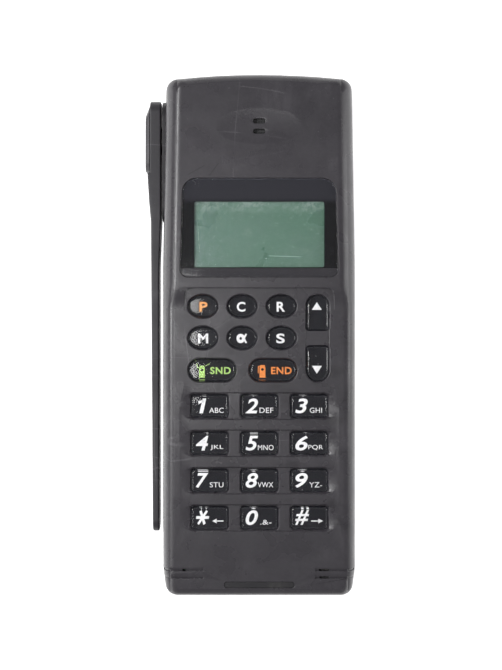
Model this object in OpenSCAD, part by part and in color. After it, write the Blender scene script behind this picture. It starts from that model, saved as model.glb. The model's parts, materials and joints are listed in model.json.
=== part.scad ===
// Hand-held cellular phone with a blade antenna that folds along its left side.
// Origin: middle of the flat back. +X right, +Y towards the earpiece, +Z out of the keypad.

/* [Body] */
// Length from the bottom end to the crown of the top end
body_len = 179; // [177:0.5:190]
// Width where the front and rear shells meet
body_w = 66.8; // [66.4:0.2:72]
// How much narrower the top end is than the body
top_narrowing = 2; // [0:0.2:2.4]
// Rise of the arched top edge over its corners
crown = 1.4; // [0.2:0.2:3]
// Radius of the body's four corners, seen from the front
corner_r = 3.4; // [2.8:0.2:4.5]
// Height of the keypad face over the back
keypad_z = 34.4; // [34:0.2:38]
// How far the display section stands over the keypad section
display_rise = 1.2; // [0.8:0.1:1.6]
// Height of the line where the shells meet
part_z = 22; // [22:0.2:23]
// Side wall of the shells
wall = 2; // [1.6:0.1:2.4]
// Thickness of the face
face_wall = 2; // [1.8:0.1:2.4]

/* [Edges] */
// Radius of the long front edges
side_edge_r = 9.2; // [8.4:0.2:10]
// Radius of the front edge at the top end
top_edge_r = 5; // [4.6:0.2:6]
// Radius of the front edge at the bottom end
bottom_edge_r = 3.6; // [3.4:0.2:5]
// Radius of the edges round the back
back_edge_r = 3.4; // [2.4:0.2:4]
// Outward slope of the sides from each face to the meeting line
draft = 0.5; // [0.2:0.1:0.8]

/* [Display] */
// Width of the window at its lower corners
lens_w = 54; // [50:0.5:55]
// Height of the window
lens_len = 33.8; // [32:0.2:35]
// How much narrower the window is at its upper corners
lens_taper = 1.4; // [0:0.1:3]
// Middle of the window below the top end
lens_from_top = 53; // [51.5:0.5:54]
// Radius of the window's upper corners
lens_top_r = 5; // [2:0.2:6]
// Radius of the window's lower corners
lens_bottom_r = 2.8; // [1:0.2:5]
// Thickness of the window
lens_t = 1; // [0.8:0.1:1.1]
// Gap round the window
lens_gap = 0.25; // [0.1:0.05:0.4]
// Width of the visible part of the glass
view_w = 44.2; // [38:0.2:46]
// Height of the visible part of the glass
view_len = 22.3; // [18:0.2:24]
// How far the visible part sits below the middle of the window
view_drop = 2.3; // [1:0.1:3]
// Thickness of the liquid crystal glass
lcd_t = 2.2; // [1.6:0.1:2.4]

/* [Earpiece] */
// Middle of the dish below the top end
ear_from_top = 18.5; // [17.5:0.5:20.5]
// Width of the dish
dish_w = 30; // [26:0.5:34]
// Height of the dish
dish_len = 13; // [11:0.5:14]
// Depth of the dish
dish_depth = 0.9; // [0.5:0.1:1]
// Length of each sound slot
slot_w = 4.2; // [3:0.2:6]
// Width of each sound slot
slot_len = 1.7; // [1.2:0.1:2]
// Distance between the two sound slots
slot_pitch = 3.5; // [2.8:0.1:4]
// Radius of the earpiece speaker
speaker_r = 10.8; // [9:0.2:11]
// Thickness of the earpiece speaker
speaker_t = 5.5; // [4:0.5:6]

/* [Keys] */
// Gap between a key and its opening
key_gap = 0.3; // [0.2:0.05:0.35]
// Height of the key tops over the keypad face
key_rise = 0.8; // [0.5:0.1:1.2]
// How far a key travels
key_travel = 0.8; // [0.5:0.1:0.9]
// Width of the flange that holds a key under the face
flange = 0.8; // [0.6:0.1:1]
// Thickness of that flange
flange_t = 0.8; // [0.6:0.1:1]
// Bevel round the key tops
key_bevel = 0.6; // [0.3:0.1:0.8]
// Radius of the plunger under each key
plunger_r = 1.4; // [1:0.1:1.6]
// Chamfer round the key openings
opening_chamfer = 0.3; // [0.1:0.05:0.4]

/* [Number keys] */
// Width of a number key's opening
number_w = 13; // [11:0.2:13.4]
// Height of a number key's opening
number_len = 8.1; // [7:0.1:8.6]
// Corner radius of a number key's opening
number_r = 1.3; // [1:0.1:2]
// Distance between the columns
column_pitch = 16.95; // [16.4:0.05:18]
// Distance between the rows
row_pitch = 12.7; // [12:0.1:13]
// First row below the top end
first_row_from_top = 113.7; // [113.3:0.1:114.5]
// Length of the shallow band round each row
band_w = 54.4; // [52:0.2:55]
// Height of that band
band_len = 9.3; // [8.8:0.1:9.6]
// Depth of that band
band_depth = 0.6; // [0.3:0.1:0.8]
// Length of the slope at each end of that band
band_slope = 3; // [2:0.2:3.4]

/* [Function keys] */
// Width of an oval opening
oval_w = 10.4; // [9.4:0.1:10.6]
// Height of an oval opening
oval_len = 8; // [7:0.1:8.2]
// First column of ovals left of the middle
oval_x = 19.2; // [18.8:0.1:19.6]
// Distance between the columns of ovals
oval_pitch = 13.35; // [13:0.05:13.8]
// Upper row of ovals below the top end
oval_from_top = 79.7; // [79.3:0.1:80.1]
// Distance between the rows of ovals
oval_row = 10.8; // [10.6:0.1:11]
// Width of the two call keys' openings
call_w = 16.4; // [15:0.1:16.8]
// Height of the two call keys' openings
call_len = 7.9; // [7:0.1:8.2]
// Left call key left of the middle
send_x = 16.1; // [15.8:0.1:16.4]
// Right call key right of the middle
end_x = 4.65; // [4.4:0.05:4.8]
// Call keys below the top end
call_from_top = 101.5; // [101.3:0.1:101.7]
// Width of the two arrow keys' openings
arrow_w = 8; // [7:0.1:8.4]
// Height of the two arrow keys' openings
arrow_len = 12.4; // [11:0.1:12.6]
// Arrow keys right of the middle
arrow_x = 19.8; // [19.4:0.1:20.2]
// Middle of the upper arrow key below the top end
up_from_top = 81.9; // [81.7:0.1:82.3]
// Middle of the lower arrow key below the top end
down_from_top = 99.2; // [98.7:0.1:99.3]

/* [Bottom end] */
// Upper groove above the bottom end
groove_from_bottom = 9.1; // [8.5:0.1:9.5]
// Distance between the two grooves
groove_pitch = 2.5; // [2.2:0.1:2.8]
// Height of a groove
groove_len = 1.4; // [1:0.1:1.6]
// Depth of a groove
groove_depth = 0.6; // [0.3:0.1:0.8]
// How much narrower the body is under the grooves
bottom_narrowing = 1.4; // [0:0.2:2]
// Where the grooves end, right and left of the middle
groove_x = 19; // [17:0.5:22]
// Width of the label recess
label_w = 24; // [18:0.5:26]
// Height of the label recess
label_len = 2.2; // [1.6:0.1:2.6]
// Label recess above the bottom end
label_from_bottom = 4.4; // [4.1:0.1:4.7]
// Depth of the label recess
label_depth = 0.6; // [0.4:0.1:0.8]

/* [Antenna] */
// Pivot below the top end
pivot_from_top = 21.2; // [20.7:0.1:23.5]
// Pivot above the back
pivot_z = 14; // [13:0.2:15]
// Radius of the pivot pin
pivot_r = 2; // [1.6:0.1:2.2]
// Running clearance round the pivot pin
pivot_play = 0.05; // [0.02:0.01:0.09]
// How far the base reaches past the pivot
base_reach = 13.8; // [13:0.1:14]
// Radius of the corners of the antenna's two ends, seen from the side
antenna_end_r = 4; // [3:0.2:5]
// Thickness of the base
base_t = 3.8; // [3.4:0.1:4.4]
// Length of the cap's flat top
cap_len = 20; // [18:0.2:20.4]
// Height of the cap over the base
cap_t = 1.6; // [1.3:0.1:1.9]
// Length of the cap's slope towards its upper end
cap_slope = 3.5; // [2.5:0.1:4]
// Width of the antenna, front to back
blade_w = 12; // [11.6:0.1:12.6]
// Thickness of the blade under its shoulder
blade_t = 2.65; // [2.4:0.05:2.8]
// How much thinner the blade is at its tip
blade_taper = 0.5; // [0:0.1:0.6]
// Distance from the pivot to the blade's tip
blade_reach = 137.2; // [120:0.5:145]
// How far the mounting strip stands out of the body
pad_stand = 0.5; // [0.4:0.1:1]
// Width of the mounting strip
pad_w = 12; // [11:0.5:13]
// Gap between the mounting strip and the base
antenna_gap = 0.5; // [0.4:0.05:0.6]

/* [Battery] */
// Length of the battery pack
pack_len = 100; // [98:1:108]
// Gap round the battery pack and its rails
pack_gap = 0.3; // [0.2:0.05:0.4]
// Height of the floor of the bay over the back
bay_z = 16.6; // [16.4:0.1:17]
// Height of the seam between pack and rear shell
seam_z = 12.2; // [12:0.1:12.6]
// Width of the lips that hold the pack
lip_w = 1.6; // [1.2:0.1:2]
// Thickness of those lips
lip_t = 1.2; // [1:0.1:1.4]
// Radius of a cell
cell_r = 7; // [6.6:0.1:7]
// Length of a cell
cell_len = 50; // [44:0.5:50.5]
// Number of cells
cell_count = 6; // [4:1:6]

/* [Boards and fasteners] */
// Thickness of both circuit boards
board_t = 1.6; // [1:0.1:1.8]
// Height of the main board over the floor of the bay
board_stand = 0.8; // [0.4:0.1:1]
// Thickness of the keypad mat
mat_t = 1.5; // [1:0.1:1.5]
// Radius of a screw's shank
screw_r = 1; // [0.8:0.1:1.2]
// Radius of a screw's head
screw_head_r = 2.1; // [1.8:0.1:2.3]
// Height of a screw's head
screw_head_t = 1.6; // [1.2:0.1:1.8]
// Length of a screw under its head
screw_len = 9; // [7:0.5:9.5]

/* [Hidden] */

// Smoothness of round shapes, and a length that runs past every face
fine = 64;
past = 60;

// Heights, from the face down
display_z = keypad_z + display_rise;
ceiling_z = keypad_z - face_wall;
display_ceiling_z = display_z - face_wall;
mask_t = 0.2;
lens_sink = 0.1;
lens_top_z = display_z - lens_sink;
lens_seat_z = lens_top_z - lens_t - mask_t;
flange_z = ceiling_z - flange_t;
foot_gap = 0.2;
mat_top_z = flange_z - key_travel - foot_gap;
key_board_top_z = mat_top_z - mat_t;
key_board_z = key_board_top_z - board_t;

// Heights, from the back up
pack_top_z = bay_z - pack_gap;
bay_floor_t = 1.6;
rear_floor_z = bay_z + bay_floor_t;
main_board_z = rear_floor_z + board_stand;
main_board_top_z = main_board_z + board_t;
back_wall = 1.8;

// The long front edge starts to curve where it meets the keypad face at this depth
side_edge_depth = 6.4;
side_edge_z = keypad_z - side_edge_depth;
top_edge_depth = 4.4;
bottom_edge_depth = 3.2;

// Places that the body's two ends and the bay set
bottom_y = -body_len/2;
top_y = body_len/2;
lens_y = top_y - lens_from_top;
ear_y = top_y - ear_from_top;
pivot_y = top_y - pivot_from_top;
oval_y = top_y - oval_from_top;
up_y = top_y - up_from_top;
down_y = down_from_top - top_y;
call_y = call_from_top - top_y;
first_row = first_row_from_top - top_y;
groove_y = -bottom_y - groove_from_bottom;
label_y = -bottom_y - label_from_bottom;

// The display section climbs to its height over a stretch just under the window
step_run = 10;
step_high_y = lens_y - lens_len/2 - 1.6;
step_low_y = step_high_y - step_run;
recess_y = step_high_y - 2;
recess_w = 2*(arrow_x + arrow_w/2 + 1.7);
recess_r = 3;
narrow_from_y = step_high_y + 7;
bay_y = bottom_y + pack_len + 0.8;
pack_top_y = bay_y - pack_gap;
end_cap_t = 1.6;
step_wall_t = 1.6;

// Distance that a rounded edge has drawn in at a depth into it
function drawn_in(depth, r) = depth <= 0 ? 0 : r - sqrt(r*r - pow(min(depth, r), 2));

// Distance that the outline has drawn in at height z, for the sides and for an end
function sloped(z) = z > part_z
    ? draft*min(1, (z - part_z)/(side_edge_z - part_z))
    : draft*min(1, (part_z - z)/(part_z - back_edge_r));
function back_in(z) = drawn_in(back_edge_r - z, back_edge_r);
function side_in(z) = sloped(z) + back_in(z) + drawn_in(z - side_edge_z, side_edge_r);
function top_in(z) =
    sloped(z) + back_in(z) + drawn_in(z - display_z + top_edge_depth, top_edge_r);
function bottom_in(z) =
    sloped(z) + back_in(z) + drawn_in(z - keypad_z + bottom_edge_depth, bottom_edge_r);

function arc(c, r, from, to, steps) =
    [for (i = [0:steps]) c + r*[cos(from + (to - from)*i/steps), sin(from + (to - from)*i/steps)]];

// Outline of the body at height z, drawn in by inset, as a ring of points
function body_ring(z, inset) =
    let (half = body_w/2 - side_in(z) - inset,
         half_top = half - top_narrowing/2,
         half_low = half - bottom_narrowing/2,
         low = bottom_y + bottom_in(z) + inset,
         high = top_y - top_in(z) - inset,
         r = corner_r,
         draw_y = max(-groove_y, low + r + 1),
         reach = half_top - r,
         outline = concat(
             [[-half, draw_y]],
             arc([-half_low + r, low + r], r, 180, 270, 6),
             arc([half_low - r, low + r], r, 270, 360, 6),
             [[half, draw_y], [half, narrow_from_y]],
             arc([reach, high - crown - r], r, 0, 90, 6),
             [for (i = [3:-1:-3]) [reach*i/4, high - crown*pow(i/4, 2)]],
             arc([-reach, high - crown - r], r, 90, 180, 6),
             [[-half, narrow_from_y]]))
    [for (p = outline) [p.x, p.y, z]];

// Closed solid over a stack of rings with the same number of points
module skin(rings) {
    levels = len(rings);
    count = len(rings[0]);
    bottom = [for (i = [0:count - 1]) i];
    top = [for (i = [count - 1:-1:0]) (levels - 1)*count + i];
    sides = [for (j = [0:levels - 2], i = [0:count - 1])
        let (next = (i + 1) % count)
        [j*count + i, (j + 1)*count + i, (j + 1)*count + next, j*count + next]];
    polyhedron(points=[for (ring = rings, p = ring) p], faces=concat([bottom, top], sides));
}

// Body above the meeting line, and below it, drawn in by inset
module front_form(inset=0, top=display_z, steps=7) {
    turn = asin((top - side_edge_z)/side_edge_r);
    heights = concat([part_z], [for (i = [0:steps]) side_edge_z + side_edge_r*sin(turn*i/steps)]);
    skin([for (z = heights) body_ring(z, inset)]);
}
module back_form(inset=0, base=0, steps=5) {
    turn = acos(base/back_edge_r);
    edge = [for (i = [0:steps]) back_edge_r*(1 - sin(90 - turn*(1 - i/steps)))];
    low = base > 0 ? [base, back_edge_r] : [for (i = [0:steps]) back_edge_r*(1 - cos(90*i/steps))];
    skin([for (z = concat(low, [part_z])) body_ring(z, inset)]);
}

// Side view of the face: the S-shaped climb from the keypad to the display section
function face_curve(drop) =
    let (run = (step_high_y - step_low_y)/2,
         r = (run*run + pow(display_rise/2, 2))/display_rise,
         turn = asin(run/r))
    concat(
        arc([step_low_y, keypad_z + r - drop], r, 270, 270 + turn, 6),
        arc([step_high_y, display_z - r - drop], r, 90 + turn, 90, 6));
module along_x(width) rotate([90, 0, 90]) translate([0, 0, -width/2]) linear_extrude(width) children();
module along_y(y0, y1) translate([0, y1, 0]) rotate([90, 0, 0]) linear_extrude(y1 - y0) children();

// Everything over the face, which is cut away
module over_face(drop=0) {
    along_x(body_w + past) polygon(concat(
        [[bottom_y - past, keypad_z - drop]],
        face_curve(drop),
        [[step_high_y, display_z + past], [bottom_y - past, display_z + past]]));
}

module rounded_square(w, l, r) {
    square([w - 2*r, l], center=true);
    square([w, l - 2*r], center=true);
    for (x = [-1, 1], y = [-1, 1]) translate([x*(w/2 - r), y*(l/2 - r)]) circle(r=r, $fn=fine);
}

// Plate with round corners whose outline grows by flare on its way up
module flared_plate(w, l, r, h, flare) {
    side = [[-l/2, 0], [l/2, 0], [l/2 + flare, h], [-l/2 - flare, h]];
    front = [[-w/2, 0], [w/2, 0], [w/2 + flare, h], [-w/2 - flare, h]];
    along_x(w - 2*r) polygon(side);
    if (l - 2*r > 0.05) along_y(-l/2 + r, l/2 - r) polygon(front);
    for (x = [-1, 1], y = l - 2*r > 0.05 ? [-1, 1] : [0])
        translate([x*(w/2 - r), y*(l/2 - r), 0]) cylinder(h=h, r1=r, r2=r + flare, $fn=fine);
}

// The same with one half-round end, towards +Y
module flared_arch(w, l, r, h, flare) {
    front = [[-w/2, 0], [w/2, 0], [w/2 + flare, h], [-w/2 - flare, h]];
    side = [[-l/2, 0], [0, 0], [0, h], [-l/2 - flare, h]];
    translate([0, l/2 - w/2, 0]) cylinder(h=h, r1=w/2, r2=w/2 + flare, $fn=fine);
    along_y(-l/2 + r, l/2 - w/2) polygon(front);
    along_x(w - 2*r) polygon(side);
    for (x = [-1, 1])
        translate([x*(w/2 - r), -l/2 + r, 0]) cylinder(h=h, r1=r, r2=r + flare, $fn=fine);
}

// The four kinds of key outline, in the size of their openings less a gap on each side
module number_shape(gap, h, flare=0) {
    flared_plate(number_w - 2*gap, number_len - 2*gap, max(0.2, number_r - gap), h, flare);
}
module call_shape(gap, h, flare=0) {
    flared_plate(call_w - 2*gap, call_len - 2*gap, call_len/2 - gap, h, flare);
}
function oval_ring(grow, z) =
    [for (i = [0:31]) let (a = 360*i/32) [(oval_w/2 + grow)*cos(a), (oval_len/2 + grow)*sin(a), z]];
module oval_shape(gap, h, flare=0) {
    skin([oval_ring(-gap, 0), oval_ring(flare - gap, h)]);
}
module arrow_shape(gap, h, flare=0) {
    flared_arch(arrow_w - 2*gap, arrow_len - 2*gap, max(0.2, number_r - gap), h, flare);
}
module key_shape(kind, gap, h, flare=0) {
    if (kind == "number") number_shape(gap, h, flare);
    if (kind == "call") call_shape(gap, h, flare);
    if (kind == "oval") oval_shape(gap, h, flare);
    if (kind == "up") arrow_shape(gap, h, flare);
    if (kind == "down") mirror([0, 1, 0]) arrow_shape(gap, h, flare);
}

// Kind and place of every key
function number_place(column, row) =
    ["number", (column - 1)*column_pitch, -first_row - row*row_pitch];
function oval_place(column, row) = ["oval", -oval_x + column*oval_pitch, oval_y - row*oval_row];
KEYS = concat(
    [for (row = [0:1], column = [0:2]) oval_place(column, row)],
    [["call", -send_x, -call_y], ["call", end_x, -call_y]],
    [["up", arrow_x, up_y], ["down", arrow_x, -down_y]],
    [for (row = [0:3], column = [0:2]) number_place(column, row)]);

module at_keys() {
    for (key = KEYS) translate([key[1], key[2], 0]) {
        $kind = key[0];
        children();
    }
}

module key(place, tint="#17161a") {
    kind = place[0];
    body_t = keypad_z + key_rise - key_bevel - ceiling_z;
    color(tint) translate([place[1], place[2], 0]) {
        translate([0, 0, ceiling_z]) key_shape(kind, key_gap, body_t);
        translate([0, 0, ceiling_z + body_t]) key_shape(kind, key_gap, key_bevel, -key_bevel);
        translate([0, 0, flange_z]) key_shape(kind, key_gap - flange, flange_t);
        translate([0, 0, key_board_top_z + key_travel + foot_gap])
            cylinder(h=flange_z - key_board_top_z - key_travel - foot_gap, r=plunger_r, $fn=fine);
    }
}

// Window outline: a rounded plate that narrows upwards
function lens_outline(gap) =
    let (low = lens_w/2 - gap,
         high = low - lens_taper/2,
         half = lens_len/2 - gap,
         a = lens_bottom_r - gap,
         b = lens_top_r - gap)
    concat(
        arc([-low + a, -half + a], a, 180, 270, 6),
        arc([low - a, -half + a], a, 270, 360, 6),
        arc([high - b, half - b], b, 0, 90, 8),
        arc([-high + b, half - b], b, 90, 180, 8));
module lens_solid(gap, z, t) {
    translate([0, lens_y, z]) linear_extrude(t) polygon(lens_outline(gap));
}
view_y = lens_y - view_drop;
view_r = 0.7;
lcd_margin_x = 3;
lcd_margin_y = 3.6;
lcd_w = view_w + 2*lcd_margin_x;
lcd_len = view_len + 2*lcd_margin_y;
well_margin = 0.8;
frame_wall = 1.5;
seat_gap = 0.1;
module lcd_box(w, l, z0, z1) translate([-w/2, view_y - l/2, z0]) cube([w, l, z1 - z0]);

// Screws sit in posts of the rear shell and bite in bosses of the front shell
screw_places = [
    [-body_w/2 + 7.9, top_y - 9.5], [body_w/2 - 7.9, top_y - 9.5],
    [-body_w/2 + 6.9, bottom_y + 18], [body_w/2 - 6.9, bottom_y + 18]
];
screw_seat_z = part_z - 3;
boss_r = 2.8;
post_r = screw_head_r + 1.4;
head_play = 0.3;
shank_play = 0.3;
thread_play = 0.05;
module at_screws() for (p = screw_places) translate([p.x, p.y, 0]) children();

// Posts from the ceiling that the key board lies against, between the keys
prop_r = 1.2;
prop_places = [
    [-column_pitch/2, -first_row - row_pitch/2], [column_pitch/2, -first_row - row_pitch/2],
    [-column_pitch/2, -first_row - row_pitch*5/2], [column_pitch/2, -first_row - row_pitch*5/2],
    [-body_w/2 + 6.4, oval_y - oval_row/2], [body_w/2 - 6.4, -call_y - 5.5]
];

// Microphone behind the openings of the right-hand grooves
mic_x = groove_x + 4;
mic_y = -groove_y - groove_pitch/2 + 0.3;
mic_r = 2.9;
mic_t = 2.2;
boot_wall = 0.8;
boot_play = 0.05;
mic_slots = [[mic_x - 0.9, 0, 3.6], [mic_x - 0.9, 1, 3.2], [-mic_x - 2.6, 0, 1.2]];
mic_slot_h = 0.7;

module grooves() {
    for (i = [0, 1]) translate([0, -groove_y - i*groove_pitch, 0]) {
        for (side = [-1, 1]) {
            reach = body_w/2 - groove_x + 1;
            // Ramp that is deepest at its lower edge
            translate([side*(groove_x + reach/2), 0, keypad_z]) along_x(reach)
                polygon([[0, -groove_depth], [groove_len, 0], [groove_len, 1], [0, 1]]);
        }
        difference() {
            for (side = [-1, 1]) translate([side < 0 ? -body_w : groove_x, 0, part_z - 1])
                cube([body_w - groove_x, groove_depth, past]);
            front_form(groove_depth, display_z, 4);
        }
    }
    for (s = mic_slots) translate([s.x - s[2]/2, -groove_y - s.y*groove_pitch, ceiling_z - 1])
        cube([s[2], mic_slot_h, face_wall + 2]);
}

// Connector in the bottom end, on the main board's tail
plug_w = 18;
plug_t = 3.8;
plug_depth = 9;
plug_play = 0.15;
plug_sink = 0.6;
module plug_box(play, y0, y1) {
    translate([-plug_w/2 - play, y0, main_board_top_z - play])
        cube([plug_w + 2*play, y1 - y0, plug_t + 2*play]);
}

// Shallow band round a row of keys, from its floor up past the face
module band() {
    floor_len = band_len - 0.4;
    skin([for (rise = [0, 1.25])
        let (w = band_w - 2*band_slope*(1 - rise),
             l = floor_len + 0.4*rise,
             ends = concat(arc([(w - l)/2, 0], l/2, -90, 90, 16), arc([(l - w)/2, 0], l/2, 90, 270, 16)))
        [for (p = ends) [p.x, p.y, rise*band_depth]]]);
}

speaker_play = 0.2;
speaker_rim = 1.2;
mesh_t = 0.2;
speaker_z = display_ceiling_z - mesh_t - speaker_t;

// The part of the face that holds the keys: a plate with their openings and the rows' bands
module panel_outline() {
    wide_y = -first_row + band_len/2 + 1;
    low_y = -first_row - 3*row_pitch - band_len/2 - 1;
    translate([-band_w/2 - 0.8, low_y]) square([band_w + 1.6, wide_y - low_y]);
    translate([-recess_w/2 + 0.3, wide_y]) square([recess_w - 0.6, recess_y - 0.4 - wide_y]);
}
module keypad_panel() {
    difference() {
        translate([0, 0, ceiling_z]) linear_extrude(face_wall) panel_outline();
        for (row = [0:3])
            translate([0, -first_row - row*row_pitch, keypad_z - band_depth]) band();
        // Shallow channel between the arrow keys
        translate([arrow_x - arrow_w/2, -down_y, keypad_z - 0.3])
            cube([arrow_w, up_y + down_y, 1]);
        at_keys() {
            translate([0, 0, ceiling_z - 1]) key_shape($kind, 0, face_wall + 2);
            floor_z = $kind == "number" ? keypad_z - band_depth : keypad_z;
            translate([0, 0, floor_z - opening_chamfer])
                key_shape($kind, 0, 2*opening_chamfer, 2*opening_chamfer);
        }
    }
}

module front_shell() {
    color("#454349") {
        difference() {
            union() {
                difference() {
                    front_form();
                    over_face();
                    difference() {
                        translate([0, 0, -0.01]) front_form(wall, display_ceiling_z + 0.01, 4);
                        over_face(face_wall);
                    }
                }
                for (p = screw_places) {
                    boss_top_z = p.y > step_high_y ? display_ceiling_z : ceiling_z;
                    translate([p.x, p.y, part_z])
                        cylinder(h=boss_top_z - part_z + 0.5, r=boss_r, $fn=fine);
                }
                // Ring round the earpiece speaker
                translate([0, ear_y, speaker_z + speaker_t/2]) difference() {
                    cylinder(h=speaker_t/2 + mesh_t + 0.5,
                        r=speaker_r + speaker_play + speaker_rim, $fn=fine);
                    translate([0, 0, -1]) cylinder(h=speaker_t/2 + mesh_t + 1,
                        r=speaker_r + speaker_play, $fn=fine);
                }
            }
            // Earpiece dish and its two slots
            dish_sphere_r = (pow(dish_len/2, 2) + pow(dish_depth, 2))/(2*dish_depth);
            translate([0, ear_y, display_z - dish_depth + dish_sphere_r])
                scale([dish_w/dish_len, 1, 1]) sphere(r=dish_sphere_r, $fn=128);
            for (i = [-1, 1]) translate([0, ear_y + i*slot_pitch/2, display_ceiling_z - 1])
                linear_extrude(face_wall + 2) rounded_square(slot_w, slot_len, slot_len/2 - 0.02);
            // Window seat and the well under it
            lens_solid(0, lens_seat_z, display_z);
            lcd_box(view_w + 2*well_margin, view_len + 2*well_margin,
                display_ceiling_z - 1, display_z);
            // Keypad recess, which fades out where the face levels
            translate([-recess_w/2, step_low_y - 4, keypad_z])
                cube([recess_w, recess_y - recess_r - step_low_y + 4, display_rise + 1]);
            translate([0, recess_y - recess_r, keypad_z]) linear_extrude(display_rise + 1)
                rounded_square(recess_w, 2*recess_r, recess_r - 0.02);
            translate([0, 0, ceiling_z - 1]) linear_extrude(face_wall + 2) panel_outline();
            grooves();
            translate([0, -label_y, keypad_z - label_depth]) linear_extrude(1)
                rounded_square(label_w, label_len, label_len/2 - 0.1);
            plug_box(plug_play, bottom_y - 1, bottom_y + wall + 2);
            at_screws() translate([0, 0, part_z - 1])
                cylinder(h=screw_len - 1, r=screw_r + thread_play, $fn=fine);
        }
        keypad_panel();
        for (p = prop_places) translate([p.x, p.y, key_board_top_z])
            cylinder(h=ceiling_z - key_board_top_z + 0.5, r=prop_r, $fn=fine);
    }
}

// Rear shell
pad_face_x = body_w/2 + pad_stand;
pad_t = 1.7;
pad_back_x = pad_face_x - pad_t;
pad_low_y = pivot_y - 28.6;
pad_high_y = pivot_y + base_reach;
pivot_boss_r = 5.6;
pivot_boss_x = pad_back_x - 4.6;
strap_t = 0.2;
main_board_half = body_w/2 - 6.4;
main_tail_half = main_board_half - 6;
main_board_y0 = bottom_y + 23;
main_board_y1 = lens_y + lens_len/2 + 2.6;
header_y = main_board_y1 - 60;
stay_r = 2;
stay_places = [for (side = [-1, 1]) [side*(main_board_half - 5), main_board_y1 - 5]];
ringer_r = 8;
ringer_t = 5;
ringer_x = 9;
ringer_y = top_y - 19.5;
spring_xs = [-12, 0, 12];
spring_w = 2.4;
spring_t = 0.4;
spring_z = 9;

module across_x(x0, x1) {
    translate([min(x0, x1), 0, 0]) rotate([90, 0, 90]) linear_extrude(abs(x1 - x0)) children();
}
module pad_outline(grow) {
    half = pad_w/2 + grow;
    translate([(pad_low_y + pad_high_y)/2, pivot_z])
        rounded_square(pad_high_y - pad_low_y + 2*grow, 2*half, half - 0.02);
}

module rear_shell() {
    skirt_in = body_w/2 - draft - 1.7;
    color("#3b393f") difference() {
        union() {
            difference() {
                back_form();
                // Room for the electronics above the bay and behind the display
                difference() {
                    translate([0, 0, 0.01]) back_form(wall, back_wall - 0.01);
                    translate([-past, bottom_y - 1, -1])
                        cube([2*past, bay_y + step_wall_t - bottom_y + 1, rear_floor_z + 1]);
                }
                // Battery bay: room between the skirts, open at the bottom end
                translate([-past, bottom_y - 1, -1]) cube([2*past, bay_y - bottom_y + 1, seam_z + 1]);
                translate([-skirt_in, bottom_y - 1, -1]) cube([2*skirt_in, bay_y - bottom_y + 1, bay_z + 1]);
                translate([-past, bottom_y - 1, -1])
                    cube([2*past, end_cap_t + pack_gap + 1, bay_z + 1]);
            }
            // Lips that hold the pack's rails
            for (side = [-1, 1]) translate([side > 0 ? skirt_in - lip_w : -skirt_in - 0.2,
                    bottom_y + end_cap_t + pack_gap, seam_z])
                cube([lip_w + 0.2, bay_y - bottom_y - end_cap_t - pack_gap + 0.5, lip_t]);
            at_screws() translate([0, 0, screw_seat_z - screw_head_t - 0.8])
                cylinder(h=part_z - screw_seat_z + screw_head_t + 0.8, r=post_r, $fn=fine);
            for (p = screw_places) if (p.y > 0) translate([p.x, p.y, back_wall - 0.5])
                cylinder(h=part_z - back_wall + 0.5, r=post_r, $fn=fine);
            for (p = stay_places) translate([p.x, p.y, back_wall - 0.5])
                cylinder(h=main_board_z - back_wall + 0.5, r=stay_r, $fn=fine);
            for (side = [-1, 1], y = [main_board_y0 + 8, header_y - 6])
                translate([side*(main_tail_half - 3) - 1.5, y, rear_floor_z - 0.5]) cube([3, 8, board_stand + 0.5]);
            // Boss behind the antenna's mounting strip
            across_x(-body_w/2 + wall - 0.6, -pivot_boss_x)
                translate([pivot_y, pivot_z]) circle(r=pivot_boss_r, $fn=fine);
            // Ring round the ringer
            translate([ringer_x, ringer_y, back_wall - 0.5]) difference() {
                cylinder(h=3, r=ringer_r + speaker_play + 1, $fn=fine);
                translate([0, 0, -1]) cylinder(h=5, r=ringer_r + speaker_play, $fn=fine);
            }
        }
        across_x(-past, -pad_back_x) pad_outline(0.1);
        across_x(-past, 0) translate([pivot_y, pivot_z]) circle(r=pivot_r + pivot_play, $fn=fine);
        at_screws() {
            translate([0, 0, -1]) cylinder(h=screw_seat_z + 1, r=screw_head_r + head_play, $fn=fine);
            cylinder(h=past, r=screw_r + shank_play, $fn=fine);
        }
        for (x = spring_xs) translate([x - spring_w/2 - 0.15, bay_y - 1, spring_z - 0.15])
            cube([spring_w + 0.3, step_wall_t + 2, spring_t + 0.3]);
        for (i = [-1:1]) translate([ringer_x, ringer_y + i*3, -1]) linear_extrude(back_wall + 2)
            rounded_square(8, 1.2, 0.58);
        plug_box(plug_play, bottom_y - 1, bottom_y + wall + 2);
    }
}

// Display
module display_lens() {
    color("#1b1c22", 0.6) lens_solid(lens_gap, lens_top_z - lens_t, lens_t);
}
module lens_mask() {
    color("#0c0c0e") difference() {
        lens_solid(lens_gap, lens_seat_z, mask_t);
        translate([0, view_y, lens_seat_z - 1]) linear_extrude(3)
            rounded_square(view_w, view_len, view_r);
    }
}
module lcd_glass() {
    color("#5f8773") lcd_box(lcd_w, lcd_len, display_ceiling_z - lcd_t, display_ceiling_z);
}
light_t = 1.2;
module lcd_frame() {
    color("#d8d6cf") difference() {
        lcd_box(lcd_w + 2*frame_wall, lcd_len + 2*frame_wall, key_board_top_z, display_ceiling_z);
        lcd_box(lcd_w + 2*seat_gap, lcd_len + 2*seat_gap,
            display_ceiling_z - lcd_t, display_ceiling_z + 1);
        // Bay of the backlight and the two slots of the elastomer strips
        lcd_box(view_w, view_len, display_ceiling_z - lcd_t - light_t, display_ceiling_z);
        for (side = [-1, 1])
            translate([-view_w/2, view_y + side*(lcd_len/2 - 1.2) - 0.8, key_board_top_z - 1])
                cube([view_w, 1.6, past]);
    }
}
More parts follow.
